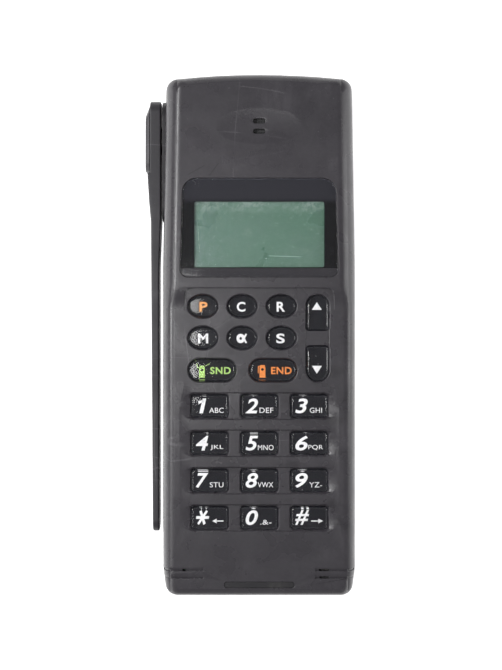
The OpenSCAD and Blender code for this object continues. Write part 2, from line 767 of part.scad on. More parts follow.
module backlight_panel() {
    color("#e9e6d8") lcd_box(view_w - 2*seat_gap, view_len - 2*seat_gap,
        display_ceiling_z - lcd_t - light_t, display_ceiling_z - lcd_t);
}
module lcd_connectors() {
    color("#c98b9a") for (side = [-1, 1])
        translate([-view_w/2 + seat_gap, view_y + side*(lcd_len/2 - 1.2) - 0.8 + seat_gap, key_board_top_z])
            cube([view_w - 2*seat_gap, 1.6 - 2*seat_gap, display_ceiling_z - lcd_t - key_board_top_z]);
}

// Boards
key_board_half = body_w/2 - 4.8;
key_board_y0 = bottom_y + 4.6;
key_board_y1 = lens_y + lens_len/2 + 2;
module board_cuts(z, play) {
    at_screws() translate([0, 0, z - 1]) cylinder(h=board_t + 2, r=boss_r + play, $fn=fine);
}
module key_board() {
    color("#2f6b45") difference() {
        translate([0, (key_board_y0 + key_board_y1)/2, key_board_z]) linear_extrude(board_t)
            rounded_square(2*key_board_half, key_board_y1 - key_board_y0, 2);
        board_cuts(key_board_z, 0.3);
    }
}
module keypad_mat() {
    low = -first_row - 3*row_pitch - number_len/2 - 1.5;
    high = up_y + arrow_len/2 + 1.2;
    color("#26262a") difference() {
        translate([0, (low + high)/2, key_board_top_z]) linear_extrude(mat_t)
            rounded_square(2*key_board_half - 0.6, high - low, 1.5);
        at_keys() translate([0, 0, key_board_top_z - 1])
            cylinder(h=mat_t + 2, r=plunger_r + 0.4, $fn=fine);
        for (p = prop_places) translate([p.x, p.y, key_board_top_z - 1])
            cylinder(h=mat_t + 2, r=prop_r + 0.2, $fn=fine);
    }
}
module main_board() {
    color("#2c6441") translate([0, 0, main_board_z]) linear_extrude(board_t) {
        translate([-main_board_half, main_board_y0])
            square([2*main_board_half, main_board_y1 - main_board_y0]);
        translate([-main_tail_half, bottom_y + wall + 1.2])
            square([2*main_tail_half, main_board_y0 - bottom_y - wall - 1]);
    }
}
header_w = 24;
header_t = 4;
module board_header() {
    color("#1d1d20") translate([-header_w/2, header_y, main_board_top_z])
        cube([header_w, header_t, key_board_z - main_board_top_z]);
}
module shield_can(x, y, w, l, t) {
    rim = 0.3;
    color("#b9b9b4") translate([x, y, main_board_top_z]) difference() {
        linear_extrude(t) rounded_square(w, l, 1);
        translate([0, 0, -1]) linear_extrude(t + 1 - rim) rounded_square(w - 2*rim, l - 2*rim, 0.7);
    }
}
can_w = 2*main_board_half - 8;
can_t = 4.2;
transmitter_l = 40;
receiver_y0 = main_board_y0 + 10.5;
receiver_l = header_y - 8 - receiver_y0;
module transmitter_can() shield_can(0, main_board_y1 - 8 - transmitter_l/2, can_w, transmitter_l, can_t);
module receiver_can() shield_can(0, receiver_y0 + receiver_l/2, can_w, receiver_l, can_t);
// Filter and amplifier hang under the main board, between the bay and the stays
under_y0 = bay_y + 6.7;
under_l = main_board_y1 - 12 - under_y0;
module duplexer_filter() {
    color("#cfc3a8") translate([-2, under_y0, main_board_z - 9])
        cube([main_board_half - 5, under_l, 9]);
}
module power_amplifier() {
    color("#8d8f93") translate([-main_board_half + 5, under_y0, main_board_z - 5])
        cube([main_board_half - 11, under_l - 2, 5]);
}
module ringer() {
    color("#202024") translate([ringer_x, ringer_y, back_wall]) difference() {
        cylinder(h=ringer_t, r=ringer_r, $fn=fine);
        translate([0, 0, ringer_t - 0.6]) cylinder(h=1, r=2, $fn=fine);
    }
}
module system_connector() {
    color("#161618") difference() {
        plug_box(0, bottom_y + draft + plug_sink, bottom_y + draft + plug_sink + plug_depth);
        for (i = [-3:3]) translate([i*2.4 - 0.7, bottom_y, main_board_top_z + 1])
            cube([1.4, draft + plug_sink + 0.3, plug_t - 2]);
    }
}
module battery_springs() {
    reach = bay_y + step_wall_t + 0.6;
    color("#d2a94a") for (x = spring_xs) translate([x - spring_w/2, 0, 0]) {
        translate([0, pack_top_y, spring_z]) cube([spring_w, reach - pack_top_y, spring_t]);
        translate([0, reach - spring_t, spring_z]) cube([spring_w, spring_t, main_board_z - spring_z]);
    }
}

// Sound
module earpiece_speaker() {
    color("#2b2b2e") translate([0, ear_y, speaker_z]) {
        cylinder(h=speaker_t - 1.2, r=speaker_r - 1.5, $fn=fine);
        translate([0, 0, speaker_t - 1.5]) cylinder(h=1.5, r=speaker_r, $fn=fine);
    }
}
module earpiece_mesh() {
    color("#0e0e10") translate([0, ear_y, speaker_z + speaker_t])
        cylinder(h=mesh_t, r=speaker_r - 1, $fn=fine);
}
module microphone() {
    color("#c9c9c4") translate([mic_x, mic_y, ceiling_z - boot_wall - mic_t])
        cylinder(h=mic_t, r=mic_r, $fn=fine);
}
module microphone_boot() {
    color("#1a1a1c") translate([mic_x, mic_y, key_board_top_z]) difference() {
        cylinder(h=ceiling_z - key_board_top_z, r=mic_r + boot_wall, $fn=fine);
        translate([0, 0, ceiling_z - key_board_top_z - boot_wall - mic_t])
            cylinder(h=mic_t, r=mic_r + boot_play, $fn=fine);
        translate([0, 0, -1]) cylinder(h=past, r=mic_r - 0.5, $fn=fine);
    }
}
module label_strip() {
    color("#18181a") translate([0, -label_y, keypad_z - label_depth]) linear_extrude(0.3)
        rounded_square(label_w - 0.2, label_len - 0.2, label_len/2 - 0.2);
}

// Antenna
washer_t = 0.8;
washer_r = 4.4;
blade_lift = 0.6;
base_in_x = pad_face_x + antenna_gap;
base_out_x = base_in_x + base_t;
tip_y = pivot_y - blade_reach;
neck_y = pad_low_y;
element_t = 0.6;
element_w = 5;
head_t = 1;
head_r = 3.6;
head_z = base_out_x - head_t - 0.2;
nut_t = 2.4;
nut_r = 4;

module antenna_pad() {
    color("#232229") difference() {
        across_x(-pad_face_x, -pad_back_x) pad_outline(0);
        across_x(-past, 0) translate([pivot_y, pivot_z]) circle(r=pivot_r + pivot_play, $fn=fine);
    }
}
module antenna_pivot() {
    color("#a9a9a4") translate([0, pivot_y, pivot_z]) rotate([0, -90, 0]) {
        translate([0, 0, pivot_boss_x - nut_t])
            cylinder(h=head_z - pivot_boss_x + nut_t, r=pivot_r, $fn=fine);
        translate([0, 0, head_z]) cylinder(h=head_t, r=head_r, $fn=fine);
    }
}
module pivot_nut() {
    color("#c2a35a") translate([-pivot_boss_x, pivot_y, pivot_z]) rotate([0, 90, 0]) difference() {
        cylinder(h=nut_t, r=nut_r, $fn=6);
        translate([0, 0, -1]) cylinder(h=nut_t + 2, r=pivot_r, $fn=fine);
    }
}
module friction_washer() {
    color("#bdbdb8") across_x(-pad_face_x, -pad_face_x - washer_t) difference() {
        translate([pivot_y, pivot_z]) circle(r=washer_r, $fn=fine);
        translate([pivot_y, pivot_z]) circle(r=pivot_r + pivot_play, $fn=fine);
    }
}
module antenna_feed() {
    x = -pivot_boss_x + nut_t;
    color("#d2a94a") {
        translate([x, pivot_y - 8, pivot_z - 2]) cube([0.3, 11, main_board_top_z - pivot_z + 2.3]);
        translate([x, main_board_y1 - 5, main_board_top_z])
            cube([5, pivot_y - 7.5 - main_board_y1 + 5, 0.3]);
    }
}
// Side view of a stretch of the antenna
module side_plate(low_y, high_y, w, r) {
    translate([(low_y + high_y)/2, pivot_z]) rounded_square(high_y - low_y, w, r);
}
cap_high_y = pivot_y + base_reach - 1.6;
cap_flat_y = cap_high_y - cap_slope;
cap_low_y = cap_flat_y - cap_len;
cap_inset = 0.5;
shoulder_t = 0.85;
// Front view of the antenna: a thick base, a shoulder under the cap, and the thin blade
module blade_thickness() {
    in_x = base_in_x + blade_lift;
    out_x = in_x + blade_t;
    mid_x = (base_out_x + shoulder_t + out_x)/2;
    polygon([
        [-base_in_x, pivot_y + base_reach + 1], [-base_out_x, pivot_y + base_reach + 1],
        [-base_out_x, cap_low_y + 1], [-base_out_x - shoulder_t, cap_low_y + 1],
        [-base_out_x - shoulder_t, cap_low_y - 1], [-mid_x - 0.1, (cap_low_y + neck_y)/2 - 2],
        [-out_x - 0.2, neck_y], [-out_x, neck_y - 16], [-out_x + blade_taper, tip_y - 1],
        [-in_x, tip_y - 1], [-in_x, neck_y - 16], [-base_in_x, neck_y]
    ]);
}
module antenna_blade() {
    color("#2e2c32") difference() {
        intersection() {
            translate([0, 0, -past]) linear_extrude(3*past) blade_thickness();
            across_x(-past, 0)
                side_plate(tip_y, pivot_y + base_reach, blade_w, antenna_end_r);
        }
        translate([-past, cap_low_y - 0.05, 0]) cube([past - base_out_x, 2*cap_len, past]);
        translate([0, pivot_y, pivot_z]) rotate([0, -90, 0]) {
            cylinder(h=past, r=pivot_r + pivot_play, $fn=fine);
            cylinder(h=pad_face_x + washer_t, r=washer_r + 0.2, $fn=fine);
            translate([0, 0, head_z - 0.05]) cylinder(h=past, r=head_r + 0.2, $fn=fine);
        }
        element_slot(0.1, pivot_y);
    }
}
element_x = base_in_x + blade_lift + blade_t/2 - element_t/2;
module element_slot(play, end_y) {
    translate([-element_x - element_t, tip_y + 4 - play, pivot_z - element_w/2 - play])
        cube([element_t, end_y - tip_y - 4 + play, element_w + 2*play]);
}
module antenna_element() {
    color("#c2a35a") element_slot(0, pivot_y - head_r - 2);
}
module antenna_hub_cap() {
    flat_w = blade_w - 2*cap_inset - 1.2;
    color("#2b2a30") hull() {
        across_x(-base_out_x, -base_out_x - 0.2)
            side_plate(cap_low_y, cap_high_y, blade_w - 2*cap_inset, antenna_end_r - 0.6);
        across_x(-base_out_x - cap_t + 0.1, -base_out_x - cap_t)
            side_plate(cap_low_y + 0.3, cap_flat_y, flat_w, antenna_end_r - 1.2);
    }
}

// Battery pack
rail_neck = body_w/2 - draft - 1.7 - lip_w - pack_gap;
rail_head = body_w/2 - draft - 1.7 - pack_gap;
pack_side_z = seam_z - pack_gap;
pack_wall = 1.6;
pack_floor_t = 1.2;
tongue_half = body_w/2 - draft - pack_wall;
tongue_t = 1.2;
cell_gap = 0.2;
lid_t = pack_top_z - pack_floor_t - 2*cell_r - 0.1;
first_cell_y = bottom_y + end_cap_t + 1 + cell_r + 0.9;

module battery_case() {
    color("#37353b") difference() {
        intersection() {
            back_form();
            union() {
                translate([-past, bottom_y - 1, -1])
                    cube([2*past, pack_top_y - bottom_y + 1, pack_side_z + 1]);
                translate([-past, bottom_y - 1, -1]) cube([2*past, end_cap_t + 1, pack_top_z + 1]);
            }
        }
        // Room for the cells, wider over the round lower edge
        for (room = [[tongue_half + seat_gap, back_edge_r], [tongue_half - 1.6, pack_floor_t]])
            translate([-room[0], bottom_y + end_cap_t + 1, room[1]])
                cube([2*room[0], pack_top_y - bottom_y - end_cap_t - 1 - pack_wall, past]);
        for (x = spring_xs) translate([x - 2.2, pack_top_y - 0.4, spring_z - 1.4])
            cube([4.4, 1, 3.2]);
        for (x = [-8, 8]) translate([x - 2.2, bottom_y, 7]) cube([4.4, draft + 0.5, 3.2]);
    }
}
module battery_cover() {
    back_y = bottom_y + end_cap_t;
    long = pack_top_y - back_y;
    rail_z = seam_z + lip_t + pack_gap;
    color("#302e34") difference() {
        union() {
            translate([-tongue_half, back_y + 1 + seat_gap, pack_side_z - tongue_t])
                cube([2*tongue_half, long - 1 - pack_wall - 2*seat_gap, tongue_t]);
            translate([-rail_neck, back_y, pack_side_z])
                cube([2*rail_neck, long, pack_top_z - pack_side_z]);
            translate([-rail_head, back_y + pack_gap, rail_z])
                cube([2*rail_head, long - pack_gap, pack_top_z - rail_z]);
        }
        translate([-rail_neck + pack_wall, back_y + 2.2, pack_side_z - 2])
            cube([2*(rail_neck - pack_wall), long - 3.4 - pack_wall, pack_top_z - lid_t - pack_side_z + 2]);
    }
}
function cell_y(i) = first_cell_y + i*(2*cell_r + cell_gap);
module battery_cells() {
    color("#3f7f9e") for (i = [0:cell_count - 1])
        translate([-cell_len/2, cell_y(i), pack_floor_t + cell_r]) rotate([0, 90, 0]) {
            cylinder(h=cell_len - 1, r=cell_r, $fn=fine);
            cylinder(h=cell_len, r=2.6, $fn=fine);
        }
}
module cell_straps() {
    color("#c4c4be") for (i = [0:cell_count - 2])
        translate([i % 2 == 0 ? cell_len/2 : -cell_len/2 - strap_t, cell_y(i) - 3, pack_floor_t + cell_r - 2])
            cube([strap_t, 2*cell_r + cell_gap + 6, 4]);
}
module battery_contacts() {
    color("#d6b35c") {
        for (x = spring_xs) translate([x - 2, pack_top_y - 0.4, spring_z - 1.2]) cube([4, 0.4, 2.8]);
        for (x = [-8, 8]) translate([x - 2, bottom_y + draft + 0.1, 7.2]) cube([4, 0.4, 2.8]);
    }
}

module case_screws() {
    color("#8e8e8a") at_screws() translate([0, 0, screw_seat_z]) difference() {
        union() {
            translate([0, 0, -screw_head_t]) cylinder(h=screw_head_t, r=screw_head_r, $fn=fine);
            cylinder(h=screw_len, r=screw_r, $fn=fine);
        }
        for (a = [0, 90]) rotate([0, 0, a]) translate([-1.3, -0.25, -screw_head_t - 1])
            cube([2.6, 0.5, 1.9]);
    }
}

front_shell();
rear_shell();
display_lens();
lens_mask();
lcd_glass();
lcd_frame();
backlight_panel();
lcd_connectors();
key_board();
keypad_mat();
earpiece_speaker();
earpiece_mesh();
microphone();
microphone_boot();
label_strip();
main_board();
board_header();
transmitter_can();
receiver_can();
duplexer_filter();
power_amplifier();
ringer();
system_connector();
battery_springs();
antenna_pad();
antenna_pivot();
pivot_nut();
friction_washer();
antenna_feed();
case_screws();
antenna_blade();
antenna_element();
antenna_hub_cap();
battery_case();
battery_cover();
battery_cells();
cell_straps();
battery_contacts();
key(oval_place(0, 0));  // key_p
key(oval_place(1, 0));  // key_c
key(oval_place(2, 0));  // key_r
key(oval_place(0, 1));  // key_m
key(oval_place(1, 1));  // key_alpha
key(oval_place(2, 1));  // key_s
key(["call", -send_x, -call_y]);  // key_send
key(["call", end_x, -call_y]);  // key_end
key(["up", arrow_x, up_y]);  // key_up
key(["down", arrow_x, -down_y]);  // key_down
key(number_place(0, 0));  // key_1
key(number_place(1, 0));  // key_2
key(number_place(2, 0));  // key_3
key(number_place(0, 1));  // key_4
key(number_place(1, 1));  // key_5
key(number_place(2, 1));  // key_6
key(number_place(0, 2));  // key_7
key(number_place(1, 2));  // key_8
key(number_place(2, 2));  // key_9
key(number_place(0, 3));  // key_star
key(number_place(1, 3));  // key_0
key(number_place(2, 3));  // key_hash
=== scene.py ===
"""Looks of a hand-held cellular phone whose blade antenna folds along its left side.

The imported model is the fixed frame. Classes hold their sizes in millimetres, in the frame of the
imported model, and a mesh becomes metres when its piece is finished.
"""

import json
import logging
import math
from collections.abc import Callable, Iterable, Sequence
from dataclasses import dataclass
from enum import Enum
from typing import Any

import bmesh
import bpy
from mathutils import Matrix, Vector

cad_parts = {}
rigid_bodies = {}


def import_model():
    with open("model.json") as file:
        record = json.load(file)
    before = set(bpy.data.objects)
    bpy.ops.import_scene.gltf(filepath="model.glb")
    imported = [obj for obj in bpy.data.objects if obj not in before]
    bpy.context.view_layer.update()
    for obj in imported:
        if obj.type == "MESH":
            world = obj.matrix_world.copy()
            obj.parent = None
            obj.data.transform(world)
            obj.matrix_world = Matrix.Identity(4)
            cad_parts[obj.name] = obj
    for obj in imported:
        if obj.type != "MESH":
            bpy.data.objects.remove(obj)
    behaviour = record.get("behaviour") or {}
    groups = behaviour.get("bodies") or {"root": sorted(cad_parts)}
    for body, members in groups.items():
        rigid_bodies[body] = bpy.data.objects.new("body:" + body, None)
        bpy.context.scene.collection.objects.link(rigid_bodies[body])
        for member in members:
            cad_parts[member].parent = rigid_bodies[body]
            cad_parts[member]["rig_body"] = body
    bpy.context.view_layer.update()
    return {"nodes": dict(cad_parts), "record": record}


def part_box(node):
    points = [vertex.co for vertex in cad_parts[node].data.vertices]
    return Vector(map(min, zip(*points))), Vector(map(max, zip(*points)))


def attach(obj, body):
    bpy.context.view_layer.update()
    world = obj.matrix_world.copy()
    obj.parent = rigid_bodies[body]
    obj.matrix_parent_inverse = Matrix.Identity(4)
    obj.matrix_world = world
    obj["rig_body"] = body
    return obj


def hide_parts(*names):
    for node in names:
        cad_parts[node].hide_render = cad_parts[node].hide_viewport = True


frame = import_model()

MM = 0.001
LOG = logging.getLogger("handset")

Colour = tuple[float, float, float]
Point = tuple[float, float]
Socket = bpy.types.NodeSocket


# ---------------------------------------------------------------------------------------------
# Node trees
# ---------------------------------------------------------------------------------------------


class Graph:
    """Adds nodes to one node tree and links them."""

    def __init__(self, tree: bpy.types.NodeTree) -> None:
        """Starts on a node tree.

        Args:
            tree: The tree that gets the nodes.
        """
        self.tree = tree

    def feed(self, socket: Socket, value: Any) -> None:
        """Links a socket, or sets its value.

        Args:
            socket: The input to feed.
            value: Another node's output, or a plain value.
        """
        if isinstance(value, bpy.types.NodeSocket):
            self.tree.links.new(value, socket)
        else:
            socket.default_value = value

    def node(self, kind: str, settings: dict[str, Any] | None = None,
             **inputs: Any) -> bpy.types.Node:
        """Adds a node.

        Args:
            kind: Blender's name of the node's type.
            settings: The node's own properties.
            **inputs: Its inputs by name, with _ for a space.

        Returns:
            The new node.
        """
        node = self.tree.nodes.new(kind)
        for name, value in (settings or {}).items():
            setattr(node, name, value)
        for name, value in inputs.items():
            self.feed(node.inputs[name.replace("_", " ")], value)
        return node

    def math(self, operation: str, *values: Any, clamp: bool = False) -> Socket:
        """Adds a Math node.

        Args:
            operation: The Math node's operation.
            *values: Its inputs in order.
            clamp: Whether the result stays between 0 and 1.

        Returns:
            The result.
        """
        node = self.node("ShaderNodeMath", {"operation": operation, "use_clamp": clamp})
        for socket, value in zip(node.inputs, values):
            self.feed(socket, value)
        return node.outputs[0]

    def mix(self, share: Any, first: Any, second: Any) -> Socket:
        """Mixes two colours.

        Args:
            share: How much of the second colour shows.
            first: The first colour.
            second: The second colour.

        Returns:
            The mixed colour.
        """
        node = self.node("ShaderNodeMix", {"data_type": "RGBA"})
        for index, value in ((0, share), (6, first), (7, second)):
            self.feed(node.inputs[index], rgba(value) if isinstance(value, tuple) else value)
        return node.outputs[2]

    def lay(self, under: Any, mask: Socket, share: float, over: Colour) -> Socket:
        """Lays a colour over another where a mask shows.

        Args:
            under: The colour below.
            mask: Where the upper colour lies.
            share: How strongly it covers there.
            over: The upper colour.

        Returns:
            The colour of both.
        """
        return self.mix(self.math("MULTIPLY", mask, share), under, over)

    def span(self, value: Any, low: float, high: float, to_low: float = 0.0,
             to_high: float = 1.0) -> Socket:
        """Maps a value from one range to another, clamped.

        Args:
            value: The value to map.
            low: Where the source range starts.
            high: Where it ends.
            to_low: The result at its start.
            to_high: The result at its end.

        Returns:
            The mapped value.
        """
        node = self.node("ShaderNodeMapRange", {"interpolation_type": "SMOOTHSTEP"}, Value=value,
                         From_Min=low, From_Max=high, To_Min=to_low, To_Max=to_high)
        return node.outputs[0]

    def place(self) -> Socket:
        """Object coordinates, in metres in the frame."""
        return self.node("ShaderNodeTexCoord").outputs["Object"]

    def axes(self) -> Sequence[Socket]:
        """Object coordinates along X, along Y and along Z, in metres."""
        return self.node("ShaderNodeSeparateXYZ", Vector=self.place()).outputs

    def stretched(self, turn: float, size: Sequence[float]) -> Socket:
        """Object coordinates turned in the plane of the face and scaled.

        Args:
            turn: The turn about Z in degrees.
            size: The scale along each axis.

        Returns:
            The mapped coordinates.
        """
        node = self.node("ShaderNodeMapping", Vector=self.place(), Scale=size,
                         Rotation=(0.0, 0.0, math.radians(turn)))
        return node.outputs[0]

    def noise(self, scale: Any, detail: float = 3.0, where: Socket | None = None) -> Socket:
        """A soft noise.

        Args:
            scale: Cycles for each metre.
            detail: How many finer layers it holds.
            where: Its coordinates, or Object coordinates when left out.

        Returns:
            The value, around 0.5.
        """
        return self.node("ShaderNodeTexNoise", Vector=where or self.place(), Scale=scale,
                         Detail=detail).outputs[0]

    def cells(self, scale: Any, feature: str = "F1", where: Socket | None = None) -> bpy.types.Node:
        """A cell texture, whose outputs are Distance and Color.

        Args:
            scale: Cells for each metre.
            feature: Blender's name of the cell feature.
            where: Its coordinates, or Object coordinates when left out.

        Returns:
            The texture node.
        """
        return self.node("ShaderNodeTexVoronoi", {"feature": feature}, Vector=where or self.place(),
                         Scale=scale)


def rgba(colour: Colour) -> tuple[float, ...]:
    """A colour with an alpha of 1."""
    return (*colour, 1.0)


def shade(colour: Colour, factor: float) -> Colour:
    """A colour made darker or lighter by a factor."""
    return tuple(channel * factor for channel in colour)


class Effect(Enum):
    """Surface effects that several finishes share. Each is one node group."""

    GRAIN = "moulded_grain"
    SPECKS = "light_specks"
    SCUFFS = "rubbed_patches"
    HAIRLINES = "hairline_scratches"
    EDGES = "worn_edges"


def grain_nodes(g: Graph, given: Sequence[Socket], out: Sequence[Socket]) -> None:
    """Fine moulded texture, as a height around 0.5.

    Args:
        g: The group's graph.
        given: Scale.
        out: Height.
    """
    coarse = g.noise(given[0], 2.0)
    fine = g.noise(g.math("MULTIPLY", given[0], 2.6), 2.0)
    coarse, fine = g.math("MULTIPLY", coarse, 0.65), g.math("MULTIPLY", fine, 0.35)
    g.feed(out[0], g.math("ADD", coarse, fine))


def speck_nodes(g: Graph, given: Sequence[Socket], out: Sequence[Socket]) -> None:
    """Scattered small specks, as a mask.

    Args:
        g: The group's graph.
        given: Scale, and the share of cells that hold a speck.
        out: Mask.
    """
    cells = g.cells(given[0])
    pick = g.node("ShaderNodeSeparateColor", Color=cells.outputs["Color"])
    chosen = g.math("LESS_THAN", pick.outputs[0], given[1])
    size = g.math("MULTIPLY_ADD", pick.outputs[1], 0.22, 0.1)
    dot = g.math("LESS_THAN", cells.outputs["Distance"], size)
    faint = g.math("MULTIPLY_ADD", pick.outputs[2], 0.7, 0.3)
    g.feed(out[0], g.math("MULTIPLY", g.math("MULTIPLY", chosen, dot), faint))


def scuff_nodes(g: Graph, given: Sequence[Socket], out: Sequence[Socket]) -> None:
    """Irregular rubbed patches with streaks in them, as a mask.

    Args:
        g: The group's graph.
        given: Scale, and how much of the surface is rubbed.
        out: Mask.
    """
    level = g.math("SUBTRACT", 0.66, g.math("MULTIPLY", given[1], 0.3))
    patch = g.math("SUBTRACT", g.noise(given[0], 5.0), level)
    patch = g.math("MULTIPLY", patch, 7.0, clamp=True)
    streaks = g.span(g.noise(given[0], 4.0, g.stretched(38.0, (9.0, 1.6, 3.0))), 0.35, 0.7)
    g.feed(out[0], g.math("MULTIPLY", patch, g.math("MULTIPLY_ADD", streaks, 0.8, 0.2)))


def hairline_nodes(g: Graph, given: Sequence[Socket], out: Sequence[Socket]) -> None:
    """Thin scratches in two directions, as a mask.

    Args:
        g: The group's graph.
        given: Scale, and the width of a line in noise units.
        out: Mask.
    """
    total: Socket | None = None
    for turn, size in ((24.0, (1.0, 0.12, 1.0)), (-52.0, (0.16, 1.1, 1.0))):
        where = g.stretched(turn, size)
        line = g.math("ABSOLUTE", g.math("SUBTRACT", g.noise(given[0], 1.0, where), 0.5))
        line = g.math("LESS_THAN", line, given[1])
        broken = g.span(g.noise(g.math("MULTIPLY", given[0], 0.9), 1.0), 0.52, 0.66)
        line = g.math("MULTIPLY", line, broken)
        total = line if total is None else g.math("MAXIMUM", total, line)
    g.feed(out[0], total)


def edge_nodes(g: Graph, given: Sequence[Socket], out: Sequence[Socket]) -> None:
    """Outer edges that hands have rubbed, as a mask.

    Args:
        g: The group's graph.
        given: Radius.
        out: Mask.
    """
    soft = g.node("ShaderNodeBevel", {"samples": 4}, Radius=given[0])
    true = g.node("ShaderNodeNewGeometry")
    dot = g.node("ShaderNodeVectorMath", {"operation": "DOT_PRODUCT"})
    g.feed(dot.inputs[0], soft.outputs[0])
    g.feed(dot.inputs[1], true.outputs["Normal"])
    turned = g.math("SUBTRACT", 1.0, dot.outputs["Value"])
    broken = g.span(g.noise(700.0, 3.0), 0.3, 0.65)
    g.feed(out[0], g.math("MULTIPLY", g.span(turned, 0.02, 0.2), broken))


EFFECTS: dict[Effect, tuple[tuple[tuple[str, float], ...], str, Callable[..., None]]] = {
    Effect.GRAIN: ((("Scale", 1500.0),), "Height", grain_nodes),
    Effect.SPECKS: ((("Scale", 900.0), ("Share", 0.05)), "Mask", speck_nodes),
    Effect.SCUFFS: ((("Scale", 40.0), ("Amount", 0.3)), "Mask", scuff_nodes),
    Effect.HAIRLINES: ((("Scale", 60.0), ("Width", 0.004)), "Mask", hairline_nodes),
    Effect.EDGES: ((("Radius", 0.0004),), "Mask", edge_nodes),
}


def effect(g: Graph, which: Effect, *values: Any) -> Socket:
    """Places a shared effect in a material.

    Args:
        g: The material's graph.
        which: The effect.
        *values: Its inputs in order.

    Returns:
        The effect's output.
    """
    given, result, fill = EFFECTS[which]
    group = bpy.data.node_groups.get(which.value)
    if group is None:
        group = bpy.data.node_groups.new(which.value, "ShaderNodeTree")
        for name, value in given:
            socket = group.interface.new_socket(name, in_out="INPUT", socket_type="NodeSocketFloat")
            socket.default_value = value
        group.interface.new_socket(result, in_out="OUTPUT", socket_type="NodeSocketFloat")
        inner = Graph(group)
        start, end = inner.node("NodeGroupInput"), inner.node("NodeGroupOutput")
        fill(inner, list(start.outputs)[:len(given)], list(end.inputs)[:1])
    node = g.node("ShaderNodeGroup", {"node_tree": group})
    for socket, value in zip(node.inputs, values):
        g.feed(socket, value)
    return node.outputs[0]


def stroke(g: Graph, start: Point, finish: Point, half: float) -> Socket:
    """A single straight scratch on a face that looks up, as a mask.

    Args:
        g: The material's graph.
        start: One end of the scratch, in millimetres.
        finish: Its other end.
        half: Half of its width in metres.

    Returns:
        The mask.
    """
    way = Vector(finish) - Vector(start)
    turn = math.atan2(way.y, way.x)
    middle = (Vector(start) + Vector(finish)) / 2 * MM
    moved = g.node("ShaderNodeMapping", {"vector_type": "TEXTURE"}, Vector=g.place(),
                   Location=(middle.x, middle.y, 0.0), Rotation=(0.0, 0.0, turn))
    split = g.node("ShaderNodeSeparateXYZ", Vector=moved.outputs[0])
    along = g.span(g.math("ABSOLUTE", split.outputs[0]), way.length * MM / 2, way.length * MM / 2.6)
    across = g.span(g.math("ABSOLUTE", split.outputs[1]), half, half * 0.4)
    return g.math("MULTIPLY", along, across)


# ---------------------------------------------------------------------------------------------
# Finishes
# ---------------------------------------------------------------------------------------------


@dataclass(frozen=True)
class Finish:
    """What every finish has.

    Attributes:
        name: The material's name.
        colour: Its main colour, linear.
        roughness: How matt it is.
    """

    name: str
    colour: Colour
    roughness: float = 0.5

    def dress(self, g: Graph, shader: bpy.types.Node) -> None:
        """Feeds the shader. Each kind of finish has its own.

        Args:
            g: The material's graph.
            shader: The material's Principled BSDF.
        """
        raise NotImplementedError

    def material(self) -> bpy.types.Material:
        """Makes the finish's material once.

        Returns:
            The material.
        """
        found = bpy.data.materials.get(self.name)
        if found:
            return found
        made = bpy.data.materials.new(self.name)
        made.use_nodes = True
        made.diffuse_color = rgba(self.colour)
        g = Graph(made.node_tree)
        shader = made.node_tree.nodes["Principled BSDF"]
        shader.inputs["Base Color"].default_value = rgba(self.colour)
        shader.inputs["Roughness"].default_value = self.roughness
        self.dress(g, shader)
        return made

    def roughened(self, g: Graph, shader: bpy.types.Node, mask: Socket, low: float,
                  high: float) -> None:
        """Lets the roughness follow a mask.

        Args:
            g: The material's graph.
            shader: The material's shader.
            mask: The mask, from 0 to 1.
            low: What is added to the finish's roughness where the mask is 0.
            high: What is added where it is 1.
        """
        level = g.span(mask, 0.0, 1.0, self.roughness + low, self.roughness + high)
        g.feed(shader.inputs["Roughness"], level)

    def bumped(self, g: Graph, shader: bpy.types.Node, height: Socket, depth: float) -> None:
        """Gives the surface relief.

        Args:
            g: The material's graph.
            shader: The material's shader.
            height: The relief, from 0 to 1.
            depth: What 1 stands for, in metres.
        """
        bump = g.node("ShaderNodeBump", Strength=1.0, Distance=depth, Height=height)
        g.feed(shader.inputs["Normal"], bump.outputs[0])


SPARKLE: Colour = (0.2, 0.195, 0.21)


